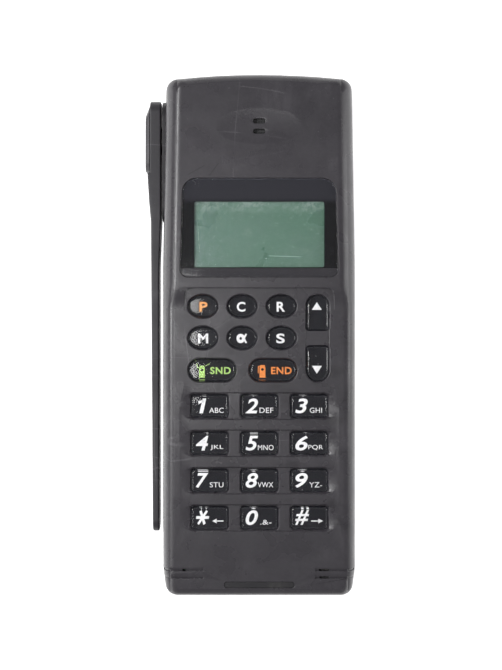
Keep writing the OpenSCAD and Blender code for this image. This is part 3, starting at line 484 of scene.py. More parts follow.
@dataclass(frozen=True)
class Moulded(Finish):
    """Moulded plastic that has been carried about.

    Attributes:
        grain: Cycles of the moulded texture for each metre.
        depth: Depth of the texture in metres.
        mottle: How much the colour wanders.
        scuffs: How much of it is rubbed.
        worn: The colour that rubbing leaves.
        edge: Strength of the wear along edges.
        specks: Share of the surface's cells that hold a light speck.
        lines: Width of the scratches in noise units.
    """

    grain: float = 1600.0
    depth: float = 1.2e-5
    mottle: float = 0.12
    scuffs: float = 0.3
    worn: Colour = (0.11, 0.105, 0.115)
    edge: float = 0.35
    specks: float = 0.03
    lines: float = 0.003

    def colouring(self, g: Graph) -> Socket:
        """The colour before wear.

        Args:
            g: The material's graph.

        Returns:
            The colour.
        """
        drift = g.span(g.noise(26.0, 4.0), 0.3, 0.7)
        fine = g.span(g.noise(self.grain * 0.5, 1.0), 0.3, 0.7)
        wander = g.math("ADD", g.math("MULTIPLY", drift, 0.6), g.math("MULTIPLY", fine, 0.4))
        return g.mix(wander, shade(self.colour, 1.0 - self.mottle),
                     shade(self.colour, 1.0 + self.mottle))

    def dress(self, g: Graph, shader: bpy.types.Node) -> None:
        """Lays texture, specks, scuffs, scratches and worn edges on the plastic.

        Args:
            g: The material's graph.
            shader: The material's shader.
        """
        colour = self.colouring(g)
        scuffs = effect(g, Effect.SCUFFS, 55.0, self.scuffs)
        lines = effect(g, Effect.HAIRLINES, 45.0, self.lines)
        edges = effect(g, Effect.EDGES, 0.0005)
        specks = effect(g, Effect.SPECKS, 2300.0, self.specks)
        for mask, share in ((scuffs, 0.35), (lines, 0.5), (edges, self.edge)):
            colour = g.lay(colour, mask, share, self.worn)
        colour = g.lay(colour, specks, 0.4, SPARKLE)
        g.feed(shader.inputs["Base Color"], colour)
        rough = g.span(g.noise(120.0, 3.0), 0.3, 0.7, self.roughness - 0.05, self.roughness + 0.05)
        rough = g.math("SUBTRACT", rough, g.math("MULTIPLY", scuffs, 0.08))
        rough = g.math("SUBTRACT", rough, g.math("MULTIPLY", edges, 0.1))
        g.feed(shader.inputs["Roughness"], rough)
        height = effect(g, Effect.GRAIN, self.grain)
        height = g.math("SUBTRACT", height, g.math("MULTIPLY", lines, 0.5))
        height = self.relief(g, g.math("MULTIPLY", height, self.depth))
        self.bumped(g, shader, height, 1.0)

    def relief(self, g: Graph, height: Socket) -> Socket:
        """Adds larger relief to the moulded texture. Plain mouldings have none.

        Args:
            g: The material's graph.
            height: The texture's height in metres.

        Returns:
            The height with the larger relief.
        """
        return height


@dataclass(frozen=True)
class FaceMoulding(Moulded):
    """The front shell's plastic, greasy round the keys and nicked beside the earpiece.

    Attributes:
        smear: How strong the grease is.
        smear_high: Where the grease fades out above the keys, and where it is full, in millimetres.
        smear_low: The same below the keys.
        nicks: Both ends of each dark nick, in millimetres.
        nick_w: Half the width of a nick in metres.
        edge_low: Half the width of the face along the keys, in millimetres.
        edge_step: How much closer the long edges are beside the window.
        step_y: Where that step starts, and where it ends.
        edge_draw: How much closer again they come at the earpiece end.
        draw_y: Where they start to, and where they are closest.
        edge_round: How far the rounding of the long edges reaches.
        edge_slope: The slope that the face and the side share at the edge.
    """

    smear: float = 0.55
    smear_high: Point = (20.0, -10.0)
    smear_low: Point = (-85.0, -60.0)
    nicks: tuple[tuple[Point, Point], ...] = (
        ((-24.5, 54.3), (-18.2, 57.8)), ((-17.4, 53.6), (-13.6, 58.6)))
    nick_w: float = 0.0002
    edge_low: float = 30.28
    edge_step: float = 1.4
    step_y: Point = (8.0, 18.0)
    edge_draw: float = 1.0
    draw_y: Point = (25.0, 81.6)
    edge_round: float = 1.7
    edge_slope: float = 0.36

    def colouring(self, g: Graph) -> Socket:
        """The plastic with dark smears round the keys.

        Args:
            g: The material's graph.

        Returns:
            The colour.
        """
        plain = super().colouring(g)
        y = g.axes()[1]
        keys = g.math("MULTIPLY", *(g.span(y, faint * MM, full * MM)
                                    for faint, full in (self.smear_high, self.smear_low)))
        smear = g.span(g.noise(95.0, 5.0, g.stretched(-30.0, (1.0, 2.2, 1.0))), 0.52, 0.72)
        dark = shade(self.colour, 0.55)
        plain = g.lay(plain, g.math("MULTIPLY", keys, smear), self.smear, dark)
        for start, finish in self.nicks:
            plain = g.lay(plain, stroke(g, start, finish, self.nick_w), 0.9, dark)
        return plain

    def relief(self, g: Graph, height: Socket) -> Socket:
        """Rounds the long edges where the face meets the sides.

        Args:
            g: The material's graph.
            height: The texture's height in metres.

        Returns:
            The height with the rounding.
        """
        x, y, _ = g.axes()
        step_from, step_to = (place * MM for place in self.step_y)
        draw_from, draw_to = (place * MM for place in self.draw_y)
        draw_len = draw_to - draw_from
        reach = self.edge_round * MM
        step = g.math("MULTIPLY", g.span(y, step_from, step_to), -self.edge_step * MM)
        draw = g.math("MULTIPLY_ADD", y, 1.0 / draw_len, -draw_from / draw_len, clamp=True)
        edge = g.math("ADD", step, self.edge_low * MM)
        edge = g.math("MULTIPLY_ADD", draw, -self.edge_draw * MM, edge)
        away = g.math("ABSOLUTE", g.math("SUBTRACT", g.math("ABSOLUTE", x), edge))
        near = g.math("MAXIMUM", g.math("SUBTRACT", reach, away), 0.0)
        fall = g.math("MULTIPLY", g.math("POWER", near, 2.0), -self.edge_slope / (2.0 * reach))
        return g.math("ADD", height, fall)


@dataclass(frozen=True)
class Rubber(Finish):
    """Matt rubber or elastomer with a dusty bloom.

    Attributes:
        bloom: The colour of the bloom.
    """

    bloom: Colour = (0.12, 0.12, 0.12)

    def dress(self, g: Graph, shader: bpy.types.Node) -> None:
        """Lays bloom and fine texture on the rubber.

        Args:
            g: The material's graph.
            shader: The material's shader.
        """
        bloom = g.span(g.noise(180.0, 5.0), 0.45, 0.8)
        g.feed(shader.inputs["Base Color"], g.lay(self.colour, bloom, 0.25, self.bloom))
        self.roughened(g, shader, bloom, -0.06, 0.08)
        self.bumped(g, shader, effect(g, Effect.GRAIN, 2200.0), 8e-6)


@dataclass(frozen=True)
class Metal(Finish):
    """Bare, tinned or plated metal.

    Attributes:
        brushed: Direction of the brush lines in degrees.
        tarnish: The colour of the dull patches.
    """

    brushed: float = 0.0
    tarnish: Colour = (0.25, 0.23, 0.2)

    def dress(self, g: Graph, shader: bpy.types.Node) -> None:
        """Lays brush lines, tarnish and hairlines on the metal.

        Args:
            g: The material's graph.
            shader: The material's shader.
        """
        shader.inputs["Metallic"].default_value = 1.0
        brush = g.noise(900.0, 2.0, g.stretched(self.brushed, (0.06, 1.0, 1.0)))
        dull = g.span(g.noise(160.0, 4.0), 0.5, 0.8)
        g.feed(shader.inputs["Base Color"], g.lay(self.colour, dull, 0.5, self.tarnish))
        rough = g.span(brush, 0.3, 0.7, self.roughness - 0.08, self.roughness + 0.1)
        g.feed(shader.inputs["Roughness"], g.math("ADD", rough, g.math("MULTIPLY", dull, 0.15)))
        self.bumped(g, shader, brush, 3e-6)


@dataclass(frozen=True)
class Clear(Finish):
    """Clear moulded plastic that lets the lamps through to what it covers.

    Attributes:
        wear: Width of its scratches in noise units.
        specks: Share of its surface's cells that hold a speck.
    """

    wear: float = 0.003
    specks: float = 0.02

    def dress(self, g: Graph, shader: bpy.types.Node) -> None:
        """Makes the shader clear, scratched, and open to the lamps' rays.

        Args:
            g: The material's graph.
            shader: The material's shader.
        """
        shader.inputs["Transmission Weight"].default_value = 1.0
        shader.inputs["IOR"].default_value = 1.49
        lines = effect(g, Effect.HAIRLINES, 70.0, self.wear)
        specks = effect(g, Effect.SPECKS, 1300.0, self.specks)
        marks = g.math("MAXIMUM", lines, specks)
        haze = g.span(g.noise(300.0, 3.0), 0.4, 0.8, self.roughness, self.roughness + 0.03)
        g.feed(shader.inputs["Roughness"], g.math("ADD", haze, g.math("MULTIPLY", marks, 0.3)))
        self.bumped(g, shader, g.noise(110.0, 1.0), 2e-6)
        shadow = g.node("ShaderNodeLightPath").outputs["Is Shadow Ray"]
        through = g.node("ShaderNodeBsdfTransparent")
        either = g.node("ShaderNodeMixShader")
        for socket, value in zip(either.inputs, (shadow, shader.outputs[0], through.outputs[0])):
            g.feed(socket, value)
        g.feed(g.tree.nodes["Material Output"].inputs["Surface"], either.outputs[0])


@dataclass(frozen=True)
class Ink(Finish):
    """Printed ink, slightly uneven.

    Attributes:
        uneven: How much the print's strength wanders.
        gloss: The print's own gloss, which is low where clear plastic lies on it.
    """

    uneven: float = 0.08
    gloss: float = 0.1

    def dress(self, g: Graph, shader: bpy.types.Node) -> None:
        """Lays the print's uneven colour and edge texture.

        Args:
            g: The material's graph.
            shader: The material's shader.
        """
        weak = shade(self.colour, 1.0 - 2.0 * self.uneven)
        shader.inputs["Specular IOR Level"].default_value = self.gloss
        drift = g.span(g.noise(1400.0, 3.0), 0.3, 0.75)
        g.feed(shader.inputs["Base Color"], g.mix(drift, weak, self.colour))
        self.roughened(g, shader, drift, -0.05, 0.08)
        self.bumped(g, shader, g.noise(2600.0, 1.0), 2e-6)


# The opening over the display glass, in millimetres.
VIEW_HIGH = 45.3
VIEW_LOW = 23.0
VIEW_LEFT = -22.1


@dataclass(frozen=True)
class MaskPrint(Finish):
    """The window's black print: upper strip partly a painted reflection, deep black sides, charcoal
    lip.

    Attributes:
        upper: The colour of the upper strip, bluish print made lighter by a painted reflection.
        lip: The colour of the lower lip.
        dust: The colour of the specks.
        gloss: The print's own gloss, which is low under the window.
    """

    upper: Colour = (0.04, 0.039, 0.05)
    lip: Colour = (0.06, 0.056, 0.064)
    dust: Colour = (0.3, 0.31, 0.36)
    gloss: float = 0.12

    def dress(self, g: Graph, shader: bpy.types.Node) -> None:
        """Lays the three zones, with specks of dust on the print.

        Args:
            g: The material's graph.
            shader: The material's shader.
        """
        y = g.axes()[1]
        high = g.span(y, (VIEW_HIGH - 1.0) * MM, (VIEW_HIGH + 1.6) * MM)
        low = g.span(y, (VIEW_LOW - 0.15) * MM, (VIEW_LOW - 0.4) * MM)
        shader.inputs["Specular IOR Level"].default_value = self.gloss
        specks = effect(g, Effect.SPECKS, 2600.0, 0.4)
        # Painted reflection: the upper strip is lighter than the print alone, standing in for the
        # window's reflection above it.
        colour = g.mix(high, self.colour, self.upper)
        colour = g.mix(low, colour, self.lip)
        g.feed(shader.inputs["Base Color"], g.lay(colour, specks, 0.16, self.dust))
        rough = g.span(g.noise(800.0), 0.3, 0.7, self.roughness, self.roughness + 0.12)
        g.feed(shader.inputs["Roughness"], rough)
        self.bumped(g, shader, effect(g, Effect.GRAIN, 2400.0), 3e-6)


@dataclass(frozen=True)
class CrystalGlass(Finish):
    """The grey-green display glass, hazy along its upper edge, speckled and scratched.

    Attributes:
        haze: The colour of the haze.
        cool: The bluish colour towards its left edge.
        fine: The colour of the fine specks.
        coarse: The colour of the coarse specks.
        mark: The colour of the scratch.
        mark_ends: Both ends of the scratch, in millimetres.
        mark_w: Half its width in metres.
    """

    haze: Colour = (0.25, 0.3, 0.27)
    cool: Colour = (0.105, 0.165, 0.145)
    fine: Colour = (0.2, 0.29, 0.25)
    coarse: Colour = (0.34, 0.42, 0.39)
    mark: Colour = (0.34, 0.45, 0.41)
    mark_ends: tuple[Point, Point] = ((2.2, 27.0), (15.0, 26.6))
    mark_w: float = 0.00016

    def dress(self, g: Graph, shader: bpy.types.Node) -> None:
        """Lays the drift of colour, the haze, the specks and the scratch.

        Args:
            g: The material's graph.
            shader: The material's shader.
        """
        x, y, _ = g.axes()
        drift = g.span(g.noise(45.0, 3.0), 0.3, 0.7)
        deep = tuple(c * f for c, f in zip(self.colour, (0.88, 0.97, 0.9)))
        colour = g.mix(drift, deep, self.colour)
        leftward = g.span(x, -0.006, (VIEW_LEFT - 1.0) * MM, 0.0, 0.5)
        colour = g.mix(leftward, colour, self.cool)
        strip = g.span(y, (VIEW_HIGH - 4.5) * MM, (VIEW_HIGH - 1.0) * MM)
        ragged = g.span(g.noise(130.0, 4.0), 0.3, 0.7, 0.25, 1.0)
        cloud = g.span(g.noise(90.0, 5.0), 0.58, 0.8)
        for mask, share, over in (
                (g.math("MULTIPLY", strip, ragged), 0.6, self.haze),
                (cloud, 0.35, self.haze),
                (g.span(g.noise(700.0, 2.0), 0.38, 0.62), 0.8, deep),
                (effect(g, Effect.SPECKS, 3000.0, 0.6), 0.4, self.fine),
                (effect(g, Effect.SPECKS, 1300.0, 0.12), 0.45, self.coarse),
                (stroke(g, *self.mark_ends, self.mark_w), 0.5, self.mark)):
            colour = g.lay(colour, mask, share, over)
        g.feed(shader.inputs["Base Color"], colour)
        self.roughened(g, shader, drift, -0.04, 0.06)
        self.bumped(g, shader, g.noise(1800.0, 2.0), 3e-6)


@dataclass(frozen=True)
class BoardMask(Finish):
    """Solder mask over copper tracks, with tinned pads.

    Attributes:
        tin: The colour of the pads.
    """

    tin: Colour = (0.55, 0.53, 0.48)

    def dress(self, g: Graph, shader: bpy.types.Node) -> None:
        """Lays tracks and pads under the mask.

        Args:
            g: The material's graph.
            shader: The material's shader.
        """
        tracks = g.node("ShaderNodeTexBrick", {"offset": 0.35, "squash": 0.6}, Vector=g.place(),
                        Scale=230.0, Mortar_Size=0.03, Mortar_Smooth=0.2, Row_Height=0.5,
                        Brick_Width=1.6).outputs["Fac"]
        pad = g.math("LESS_THAN", g.cells(420.0).outputs["Distance"], 0.2)
        colour = g.mix(tracks, self.colour, shade(self.colour, 1.7))
        g.feed(shader.inputs["Base Color"], g.mix(pad, colour, self.tin))
        g.feed(shader.inputs["Metallic"], g.math("MULTIPLY", pad, 0.9))
        g.feed(shader.inputs["Roughness"], g.span(g.noise(300.0), 0.3, 0.7, 0.3, 0.42))
        self.bumped(g, shader, g.math("MAXIMUM", pad, tracks), 2e-5)


@dataclass(frozen=True)
class Woven(Finish):
    """A woven dust screen.

    Attributes:
        pitch: Threads for each metre.
    """

    pitch: float = 2200.0

    def dress(self, g: Graph, shader: bpy.types.Node) -> None:
        """Lays crossing threads.

        Args:
            g: The material's graph.
            shader: The material's shader.
        """
        weave = g.math("MAXIMUM", *(
            g.node("ShaderNodeTexWave", {"bands_direction": axis}, Vector=g.place(),
                   Scale=self.pitch / 6.28, Distortion=0.6).outputs["Fac"] for axis in ("X", "Y")))
        g.feed(shader.inputs["Base Color"], g.mix(weave, shade(self.colour, 0.3), self.colour))
        g.feed(shader.inputs["Roughness"], g.span(weave, 0.0, 1.0, 0.9, 0.6))
        self.bumped(g, shader, weave, 4e-5)


@dataclass(frozen=True)
class Ceramic(Finish):
    """Fired ceramic with silvered patches.

    Attributes:
        silver: The colour of the silvered patches.
    """

    silver: Colour = (0.62, 0.6, 0.56)

    def dress(self, g: Graph, shader: bpy.types.Node) -> None:
        """Lays pores and silvering.

        Args:
            g: The material's graph.
            shader: The material's shader.
        """
        pores = g.span(g.noise(1500.0, 2.0), 0.4, 0.6)
        patch = g.math("GREATER_THAN", g.noise(70.0, 1.0), 0.5)
        g.feed(shader.inputs["Base Color"], g.mix(patch, self.colour, self.silver))
        g.feed(shader.inputs["Metallic"], g.math("MULTIPLY", patch, 0.8))
        g.feed(shader.inputs["Roughness"], g.span(pores, 0.0, 1.0, 0.35, 0.7))
        self.bumped(g, shader, pores, 1e-5)


CHARCOAL: Colour = (0.04, 0.037, 0.043)
SLOTS: dict[str, Finish] = {
    "front_plastic": FaceMoulding("front_shell_plastic", CHARCOAL, 0.3, depth=2e-5),
    "rear_plastic": Moulded("rear_shell_plastic", (0.034, 0.031, 0.037), 0.45, scuffs=0.45),
    "battery_plastic": Moulded("battery_case_plastic", (0.033, 0.03, 0.036), 0.45, scuffs=0.6,
                               edge=0.5),
    "clear_window": Clear("window_plastic", (0.93, 0.95, 0.97), 0.05, wear=0.0002, specks=0.002),
    "black_mask": MaskPrint("window_mask_print", (0.009, 0.009, 0.011), 0.35),
    "liquid_crystal": CrystalGlass("display_glass", (0.062, 0.124, 0.089), 0.3),
    "white_frame": Rubber("white_frame_plastic", (0.6, 0.58, 0.52), 0.6, bloom=(0.5, 0.46, 0.36)),
    "pink_elastomer": Rubber("connector_elastomer", (0.5, 0.24, 0.3), 0.7, bloom=(0.6, 0.4, 0.42)),
    "circuit_board": BoardMask("board_solder_mask", (0.02, 0.1, 0.045), 0.35),
    "black_rubber": Rubber("keypad_rubber", (0.02, 0.02, 0.022), 0.75),
    "black_part": Moulded("black_part_plastic", (0.017, 0.017, 0.019), 0.45, scuffs=0.1, edge=0.2),
    "black_cloth": Woven("earpiece_screen", (0.03, 0.03, 0.032), 0.8),
    # Painted shade: the microphone can is coloured near black, far darker than a bright can,
    # because it is seen only through the grooves, where it lies in shade.
    "bright_can": Metal("can_metal_painted_shade", (0.1, 0.1, 0.105), 0.55),
    "label": Moulded("label_film", (0.016, 0.015, 0.018), 0.42, scuffs=0.5,
                     worn=(0.09, 0.085, 0.08), edge=0.2),
    "tinned_can": Metal("tinned_steel", (0.66, 0.65, 0.61), 0.3, brushed=90.0),
    "ceramic_block": Ceramic("filter_ceramic", (0.55, 0.49, 0.38), 0.6),
    "gold_contact": Metal("gold_plating", (0.9, 0.64, 0.22), 0.25, tarnish=(0.5, 0.36, 0.16)),
    "pad_plastic": Moulded("antenna_pad_plastic", (0.014, 0.0125, 0.0155), 0.5, scuffs=0.2),
    "steel": Metal("blackened_steel", (0.09, 0.088, 0.086), 0.5),
    "brass": Metal("turned_brass", (0.8, 0.6, 0.28), 0.3, tarnish=(0.4, 0.26, 0.1)),
    "antenna_plastic": Moulded("antenna_blade_plastic", (0.031, 0.029, 0.034), 0.44, scuffs=0.35,
                               edge=0.5),
    "cap_plastic": Moulded("antenna_cap_plastic", (0.055, 0.052, 0.058), 0.34, scuffs=0.2,
                           edge=0.5),
    "cell_sleeve": Moulded("cell_sleeve_film", (0.05, 0.2, 0.32), 0.3, worn=(0.3, 0.4, 0.45),
                           scuffs=0.2),
    "key_gloss": Clear("key_cap_plastic", (0.95, 0.95, 0.97), 0.045, wear=0.0, specks=0.002),
}
KEY_PRINT = Ink("key_back_print", (0.0085, 0.0085, 0.012), 0.45)
WHITE_INK = Ink("white_ink", (0.9, 0.9, 0.9), 0.5)
ORANGE_INK = Ink("orange_ink", (0.85, 0.28, 0.07), 0.5)
SALMON_INK = Ink("salmon_ink", (0.95, 0.42, 0.14), 0.5)
GREEN_INK = Ink("green_ink", (0.45, 0.7, 0.2), 0.5)


# ---------------------------------------------------------------------------------------------
# Meshes
# ---------------------------------------------------------------------------------------------

INK_T = 0.03  # Thickness of a printed mark.
SLANT = 0.22  # How far the digits lean.
LEVEL = 0.01  # Heights that differ by less count as one.
SHARP = math.radians(32.0)  # Edges that turn by more stay sharp in a smooth piece.
FLAT_SIDES = 12  # A face with this many sides is an end face, which stays flat.
SOFT_ANGLE = math.radians(34.0)  # Edges of a moulding that turn by more are rounded.
SOFT_SEGMENTS = 3  # Faces across such a rounding.


def meshed(name: str, bm: bmesh.types.BMesh) -> bpy.types.Mesh:
    """Makes a mesh from a bmesh.

    Args:
        name: The mesh's name.
        bm: The bmesh, which is freed.

    Returns:
        The mesh.
    """
    mesh = bpy.data.meshes.new(name)
    bm.to_mesh(mesh)
    bm.free()
    return mesh


def placed(name: str, data: bpy.types.ID) -> bpy.types.Object:
    """Puts a new object in the scene.

    Args:
        name: The object's name.
        data: The mesh, curve, lamp or camera that it holds.

    Returns:
        The object.
    """
    made = bpy.data.objects.new(name, data)
    bpy.context.scene.collection.objects.link(made)
    return made


def finished(name: str, bm: bmesh.types.BMesh, finish: Finish, body: str, slot: str | None,
             replaced: Iterable[str] = (), smooth: bool = True) -> bpy.types.Object:
    """Turns a mesh in millimetres into a piece that rides on a body.

    Args:
        name: The piece's name.
        bm: Its mesh, which is freed.
        finish: Its finish.
        body: The body it rides on.
        slot: The record's material slot, if it takes one. It is not used.
        replaced: The nodes it stands for.
        smooth: Whether its faces shade smoothly up to sharp edges.

    Returns:
        The piece.
    """
    bmesh.ops.scale(bm, vec=(MM, MM, MM), verts=bm.verts)
    for face in bm.faces:
        face.smooth = smooth and len(face.verts) < FLAT_SIDES
    for edge in bm.edges:
        edge.smooth = not (edge.is_manifold and edge.calc_face_angle(0.0) > SHARP)
    mesh = meshed(name, bm)
    mesh.materials.append(finish.material())
    made = placed(name, mesh)
    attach(made, body)
    if replaced:
        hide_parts(*replaced)
    LOG.info("%s: %d faces on %s", name, len(mesh.polygons), body)
    return made


@dataclass(frozen=True)
class Dish:
    """The earpiece dish, which looks shallower under soft light than a faceted mesh shows it.

    Attributes:
        middle_y: Its middle along the length, in millimetres.
        half_w: Half of its width.
        half_l: Half of its length.
        face_z: Height of the face round it.
        floor_z: A height between its floor and the inside of the wall.
        share: How much of its depth stays.
    """

    middle_y: float = 71.0
    half_w: float = 14.8
    half_l: float = 6.8
    face_z: float = 35.6
    floor_z: float = 34.3
    share: float = 0.45

    def flatten(self, bm: bmesh.types.BMesh) -> None:
        """Lifts the dish's floor towards the face.

        Args:
            bm: The front shell's mesh, in metres.
        """
        for vert in bm.verts:
            x, y, z = vert.co / MM
            inside = (x / self.half_w) ** 2 + ((y - self.middle_y) / self.half_l) ** 2 < 1.0
            if inside and self.floor_z < z < self.face_z:
                vert.co.z = (self.face_z - (self.face_z - z) * self.share) * MM


def softened(node: str, width: float, dish: Dish | None = None) -> bpy.types.Object:
    """A copy of a node with its edges rounded, which stands for the node.

    Args:
        node: The CAD node.
        width: How far the rounding reaches from each edge, in millimetres.
        dish: The dish to flatten in it, if it has one.

    Returns:
        The piece.
    """
    source = frame["nodes"][node]
    bm = bmesh.new()
    bm.from_mesh(source.data)
    bmesh.ops.remove_doubles(bm, verts=bm.verts, dist=2e-6)
    bmesh.ops.dissolve_degenerate(bm, edges=bm.edges, dist=1e-6)
    bmesh.ops.dissolve_limit(bm, angle_limit=math.radians(0.6), verts=bm.verts, edges=bm.edges)
    bmesh.ops.connect_verts_concave(bm, faces=bm.faces)
    if dish:
        dish.flatten(bm)
    for face in bm.faces:
        face.smooth = True
    mesh = meshed(node + "_soft", bm)
    mesh.materials.append(SLOTS[slot_of(node)].material())
    made = placed(node + "_soft", mesh)
    bevel = made.modifiers.new("soft_edges", "BEVEL")
    bevel.width = width * MM
    bevel.segments = SOFT_SEGMENTS
    bevel.limit_method = "ANGLE"
    bevel.angle_limit = SOFT_ANGLE
    bevel.use_clamp_overlap = False
    bevel.loop_slide = False
    shading = made.modifiers.new("flat_faces_stay_flat", "WEIGHTED_NORMAL")
    shading.weight = 100
    shading.keep_sharp = True
    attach(made, source["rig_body"])
    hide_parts(node)
    LOG.info("%s: softened by %.2f mm", made.name, width)
    return made


def slot_of(node: str) -> str:
    """The record's material slot of a node."""
    return next(p["material_slot"] for p in frame["record"]["subparts"] if p["node"] == node)


def upright_edges(bm: bmesh.types.BMesh,
                  keep: Callable[[Vector], bool] = lambda _: True) -> list[bmesh.types.BMEdge]:
    """Edges that run along Z.

    Args:
        bm: The mesh.
        keep: Says of an edge's middle whether it counts.

    Returns:
        The edges.
    """
    found = []
    for edge in bm.edges:
        first, second = (v.co for v in edge.verts)
        if (first - second).xy.length < 1e-6 and keep((first + second) / 2):
            found.append(edge)
    return found


def rounded(bm: bmesh.types.BMesh, edges: list[bmesh.types.BMEdge], radius: float,
            segments: int) -> None:
    """Rounds edges of a mesh.

    Args:
        bm: The mesh.
        edges: The edges.
        radius: Radius of the rounding.
        segments: Faces across it.
    """
    bmesh.ops.bevel(bm, geom=edges, offset=radius, offset_type="OFFSET", segments=segments,
                    profile=0.5, affect="EDGES", material=-1, clamp_overlap=True)


def turned(bm: bmesh.types.BMesh, degrees: float) -> None:
    """Turns a mesh about the Z axis."""
    bmesh.ops.rotate(bm, cent=(0, 0, 0), matrix=Matrix.Rotation(math.radians(degrees), 3, "Z"),
                     verts=bm.verts)


def moved(bm: bmesh.types.BMesh, x: float, y: float, z: float) -> None:
    """Moves a mesh."""
    bmesh.ops.translate(bm, vec=(x, y, z), verts=bm.verts)


def bar(low: Sequence[float], high: Sequence[float], turn: float = 0.0) -> bmesh.types.BMesh:
    """A block between two corners, turned about its own middle.

    Args:
        low: Its lowest corner.
        high: Its highest corner.
        turn: Its turn about Z in degrees.

    Returns:
        The mesh.
    """
    low, high = Vector(low), Vector(high)
    bm = bmesh.new()
    bmesh.ops.create_cube(bm, size=1.0)
    bmesh.ops.scale(bm, vec=high - low, verts=bm.verts)
    turned(bm, turn)
    moved(bm, *(low + high) / 2)
    return bm


def joined(parts: Iterable[bmesh.types.BMesh]) -> bmesh.types.BMesh:
    """Puts several meshes together.

    Args:
        parts: The meshes, which are freed.

    Returns:
        One mesh with all of them.
    """
    whole = bmesh.new()
    for part in parts:
        carrier = meshed("carrier", part)
        whole.from_mesh(carrier)
        bpy.data.meshes.remove(carrier)
    return whole


def fitted(bm: bmesh.types.BMesh, left: float, right: float, low: float,
           high: float) -> bmesh.types.BMesh:
    """Scales and moves a flat mesh so that it fills a frame.

    Args:
        bm: The mesh.
        left: Left side of the frame.
        right: Right side.
        low: Lower side.
        high: Upper side.

    Returns:
        The same mesh.
    """
    xs = [v.co.x for v in bm.verts]
    ys = [v.co.y for v in bm.verts]
    size = ((right - left) / (max(xs) - min(xs)), (high - low) / (max(ys) - min(ys)), 1.0)
    moved(bm, -min(xs), -min(ys), 0.0)
    bmesh.ops.scale(bm, vec=size, verts=bm.verts)
    moved(bm, left, low, 0.0)
    return bm


def lettering(text: str, slant: float = 0.0, weight: float = 0.0,
              gap: float = 1.0) -> bmesh.types.BMesh:
    """Text as a thin mesh of its own size, which a frame then scales.

    Args:
        text: The characters.
        slant: How far they lean.
        weight: How much bolder than the font they are.
        gap: Spacing between them, where 1 is the font's own.

    Returns:
        The mesh, from Z 0 up by INK_T.
    """
    curve = bpy.data.curves.new("lettering", "FONT")
    curve.body = text
    curve.size = 1.0
    curve.shear = slant
    curve.offset = weight
    curve.space_character = gap
    curve.extrude = INK_T / 2
    curve.resolution_u = 5
    carrier = placed("lettering", curve)
    depsgraph = bpy.context.evaluated_depsgraph_get()
    mesh = bpy.data.meshes.new_from_object(carrier.evaluated_get(depsgraph))
    bm = bmesh.new()
    bm.from_mesh(mesh)
    bmesh.ops.remove_doubles(bm, verts=bm.verts, dist=1e-5)
    moved(bm, 0.0, 0.0, INK_T / 2)
    bpy.data.objects.remove(carrier)
    bpy.data.curves.remove(curve)
    bpy.data.meshes.remove(mesh)
    return bm


# ---------------------------------------------------------------------------------------------
# Keys
# ---------------------------------------------------------------------------------------------


class KeyForm(Enum):
    """Outlines of the keys."""

    NUMBER = "rounded rectangle"
    OVAL = "ellipse"
    CALL = "round ends"
    UP = "arched upper end"
    DOWN = "arched lower end"


END_FLAT = 0.02  # Half of the flat that stays in the middle of a round end.


def plate(form: KeyForm, width: float, length: float, low: float, high: float,
          corner: float) -> bmesh.types.BMesh:
    """A plate with a key's outline, centred on the Z axis.

    Args:
        form: The outline.
        width: Size along X.
        length: Size along Y.
        low: Its lower face.
        high: Its upper face.
        corner: Radius of the corners that the form leaves square.

    Returns:
        The mesh.
    """
    if form is KeyForm.OVAL:
        bm = bmesh.new()
        bmesh.ops.create_cone(bm, cap_ends=True, cap_tris=False, segments=72, radius1=0.5,
                              radius2=0.5, depth=1.0)
        bmesh.ops.scale(bm, vec=(width, length, high - low), verts=bm.verts)
        moved(bm, 0.0, 0.0, (low + high) / 2)
        return bm
    bm = bar((-width / 2, -length / 2, low), (width / 2, length / 2, high))
    if form is KeyForm.CALL:
        rounded(bm, upright_edges(bm), length / 2 - END_FLAT, 20)
    elif form is KeyForm.NUMBER:
        rounded(bm, upright_edges(bm), corner, 8)
    else:
        side = 1.0 if form is KeyForm.UP else -1.0
        rounded(bm, upright_edges(bm, lambda p: p.y * side > 0), width / 2 - END_FLAT, 20)
        rounded(bm, upright_edges(bm, lambda p: p.y * side < -length * 0.4), corner, 6)
    return bm


@dataclass(frozen=True)
class Mark:
    """One mark printed under a key's cap, in a frame round the key's middle.

    Attributes:
        draw: Makes the mark's mesh.
        left: Left side of its frame.
        right: Right side.
        low: Lower side.
        high: Upper side.
    """

    draw: Callable[[], bmesh.types.BMesh]
    left: float
    right: float
    low: float
    high: float

    def mesh(self) -> bmesh.types.BMesh:
        """The mark, scaled into its frame."""
        return fitted(self.draw(), self.left, self.right, self.low, self.high)


def digit(text: str) -> Callable[[], bmesh.types.BMesh]:
    """A slanted bold digit."""
    return lambda: lettering(text, SLANT, 0.02)


def leaning(bm: bmesh.types.BMesh) -> bmesh.types.BMesh:
    """Makes a mesh lean as the digits do.

    Args:
        bm: The mesh.

    Returns:
        The same mesh.
    """
    for vert in bm.verts:
        vert.co.x += vert.co.y * SLANT
    return bm


def one() -> bmesh.types.BMesh:
    """Draws a slanted bold one with its flag.

    Returns:
        The mesh.
    """
    stem = bar((0.1, 0.0, 0.0), (0.27, 0.72, INK_T))
    flag = bar((-0.07, 0.5, 0.0), (0.17, 0.63, INK_T), 24.0)
    return leaning(joined([stem, flag]))


def small(text: str) -> Callable[[], bmesh.types.BMesh]:
    """A group of small letters."""
    return lambda: lettering(text, 0.0, 0.0, 1.04)


def bold(text: str) -> Callable[[], bmesh.types.BMesh]:
    """Bold upright lettering."""
    return lambda: lettering(text, 0.0, 0.026, 1.1)


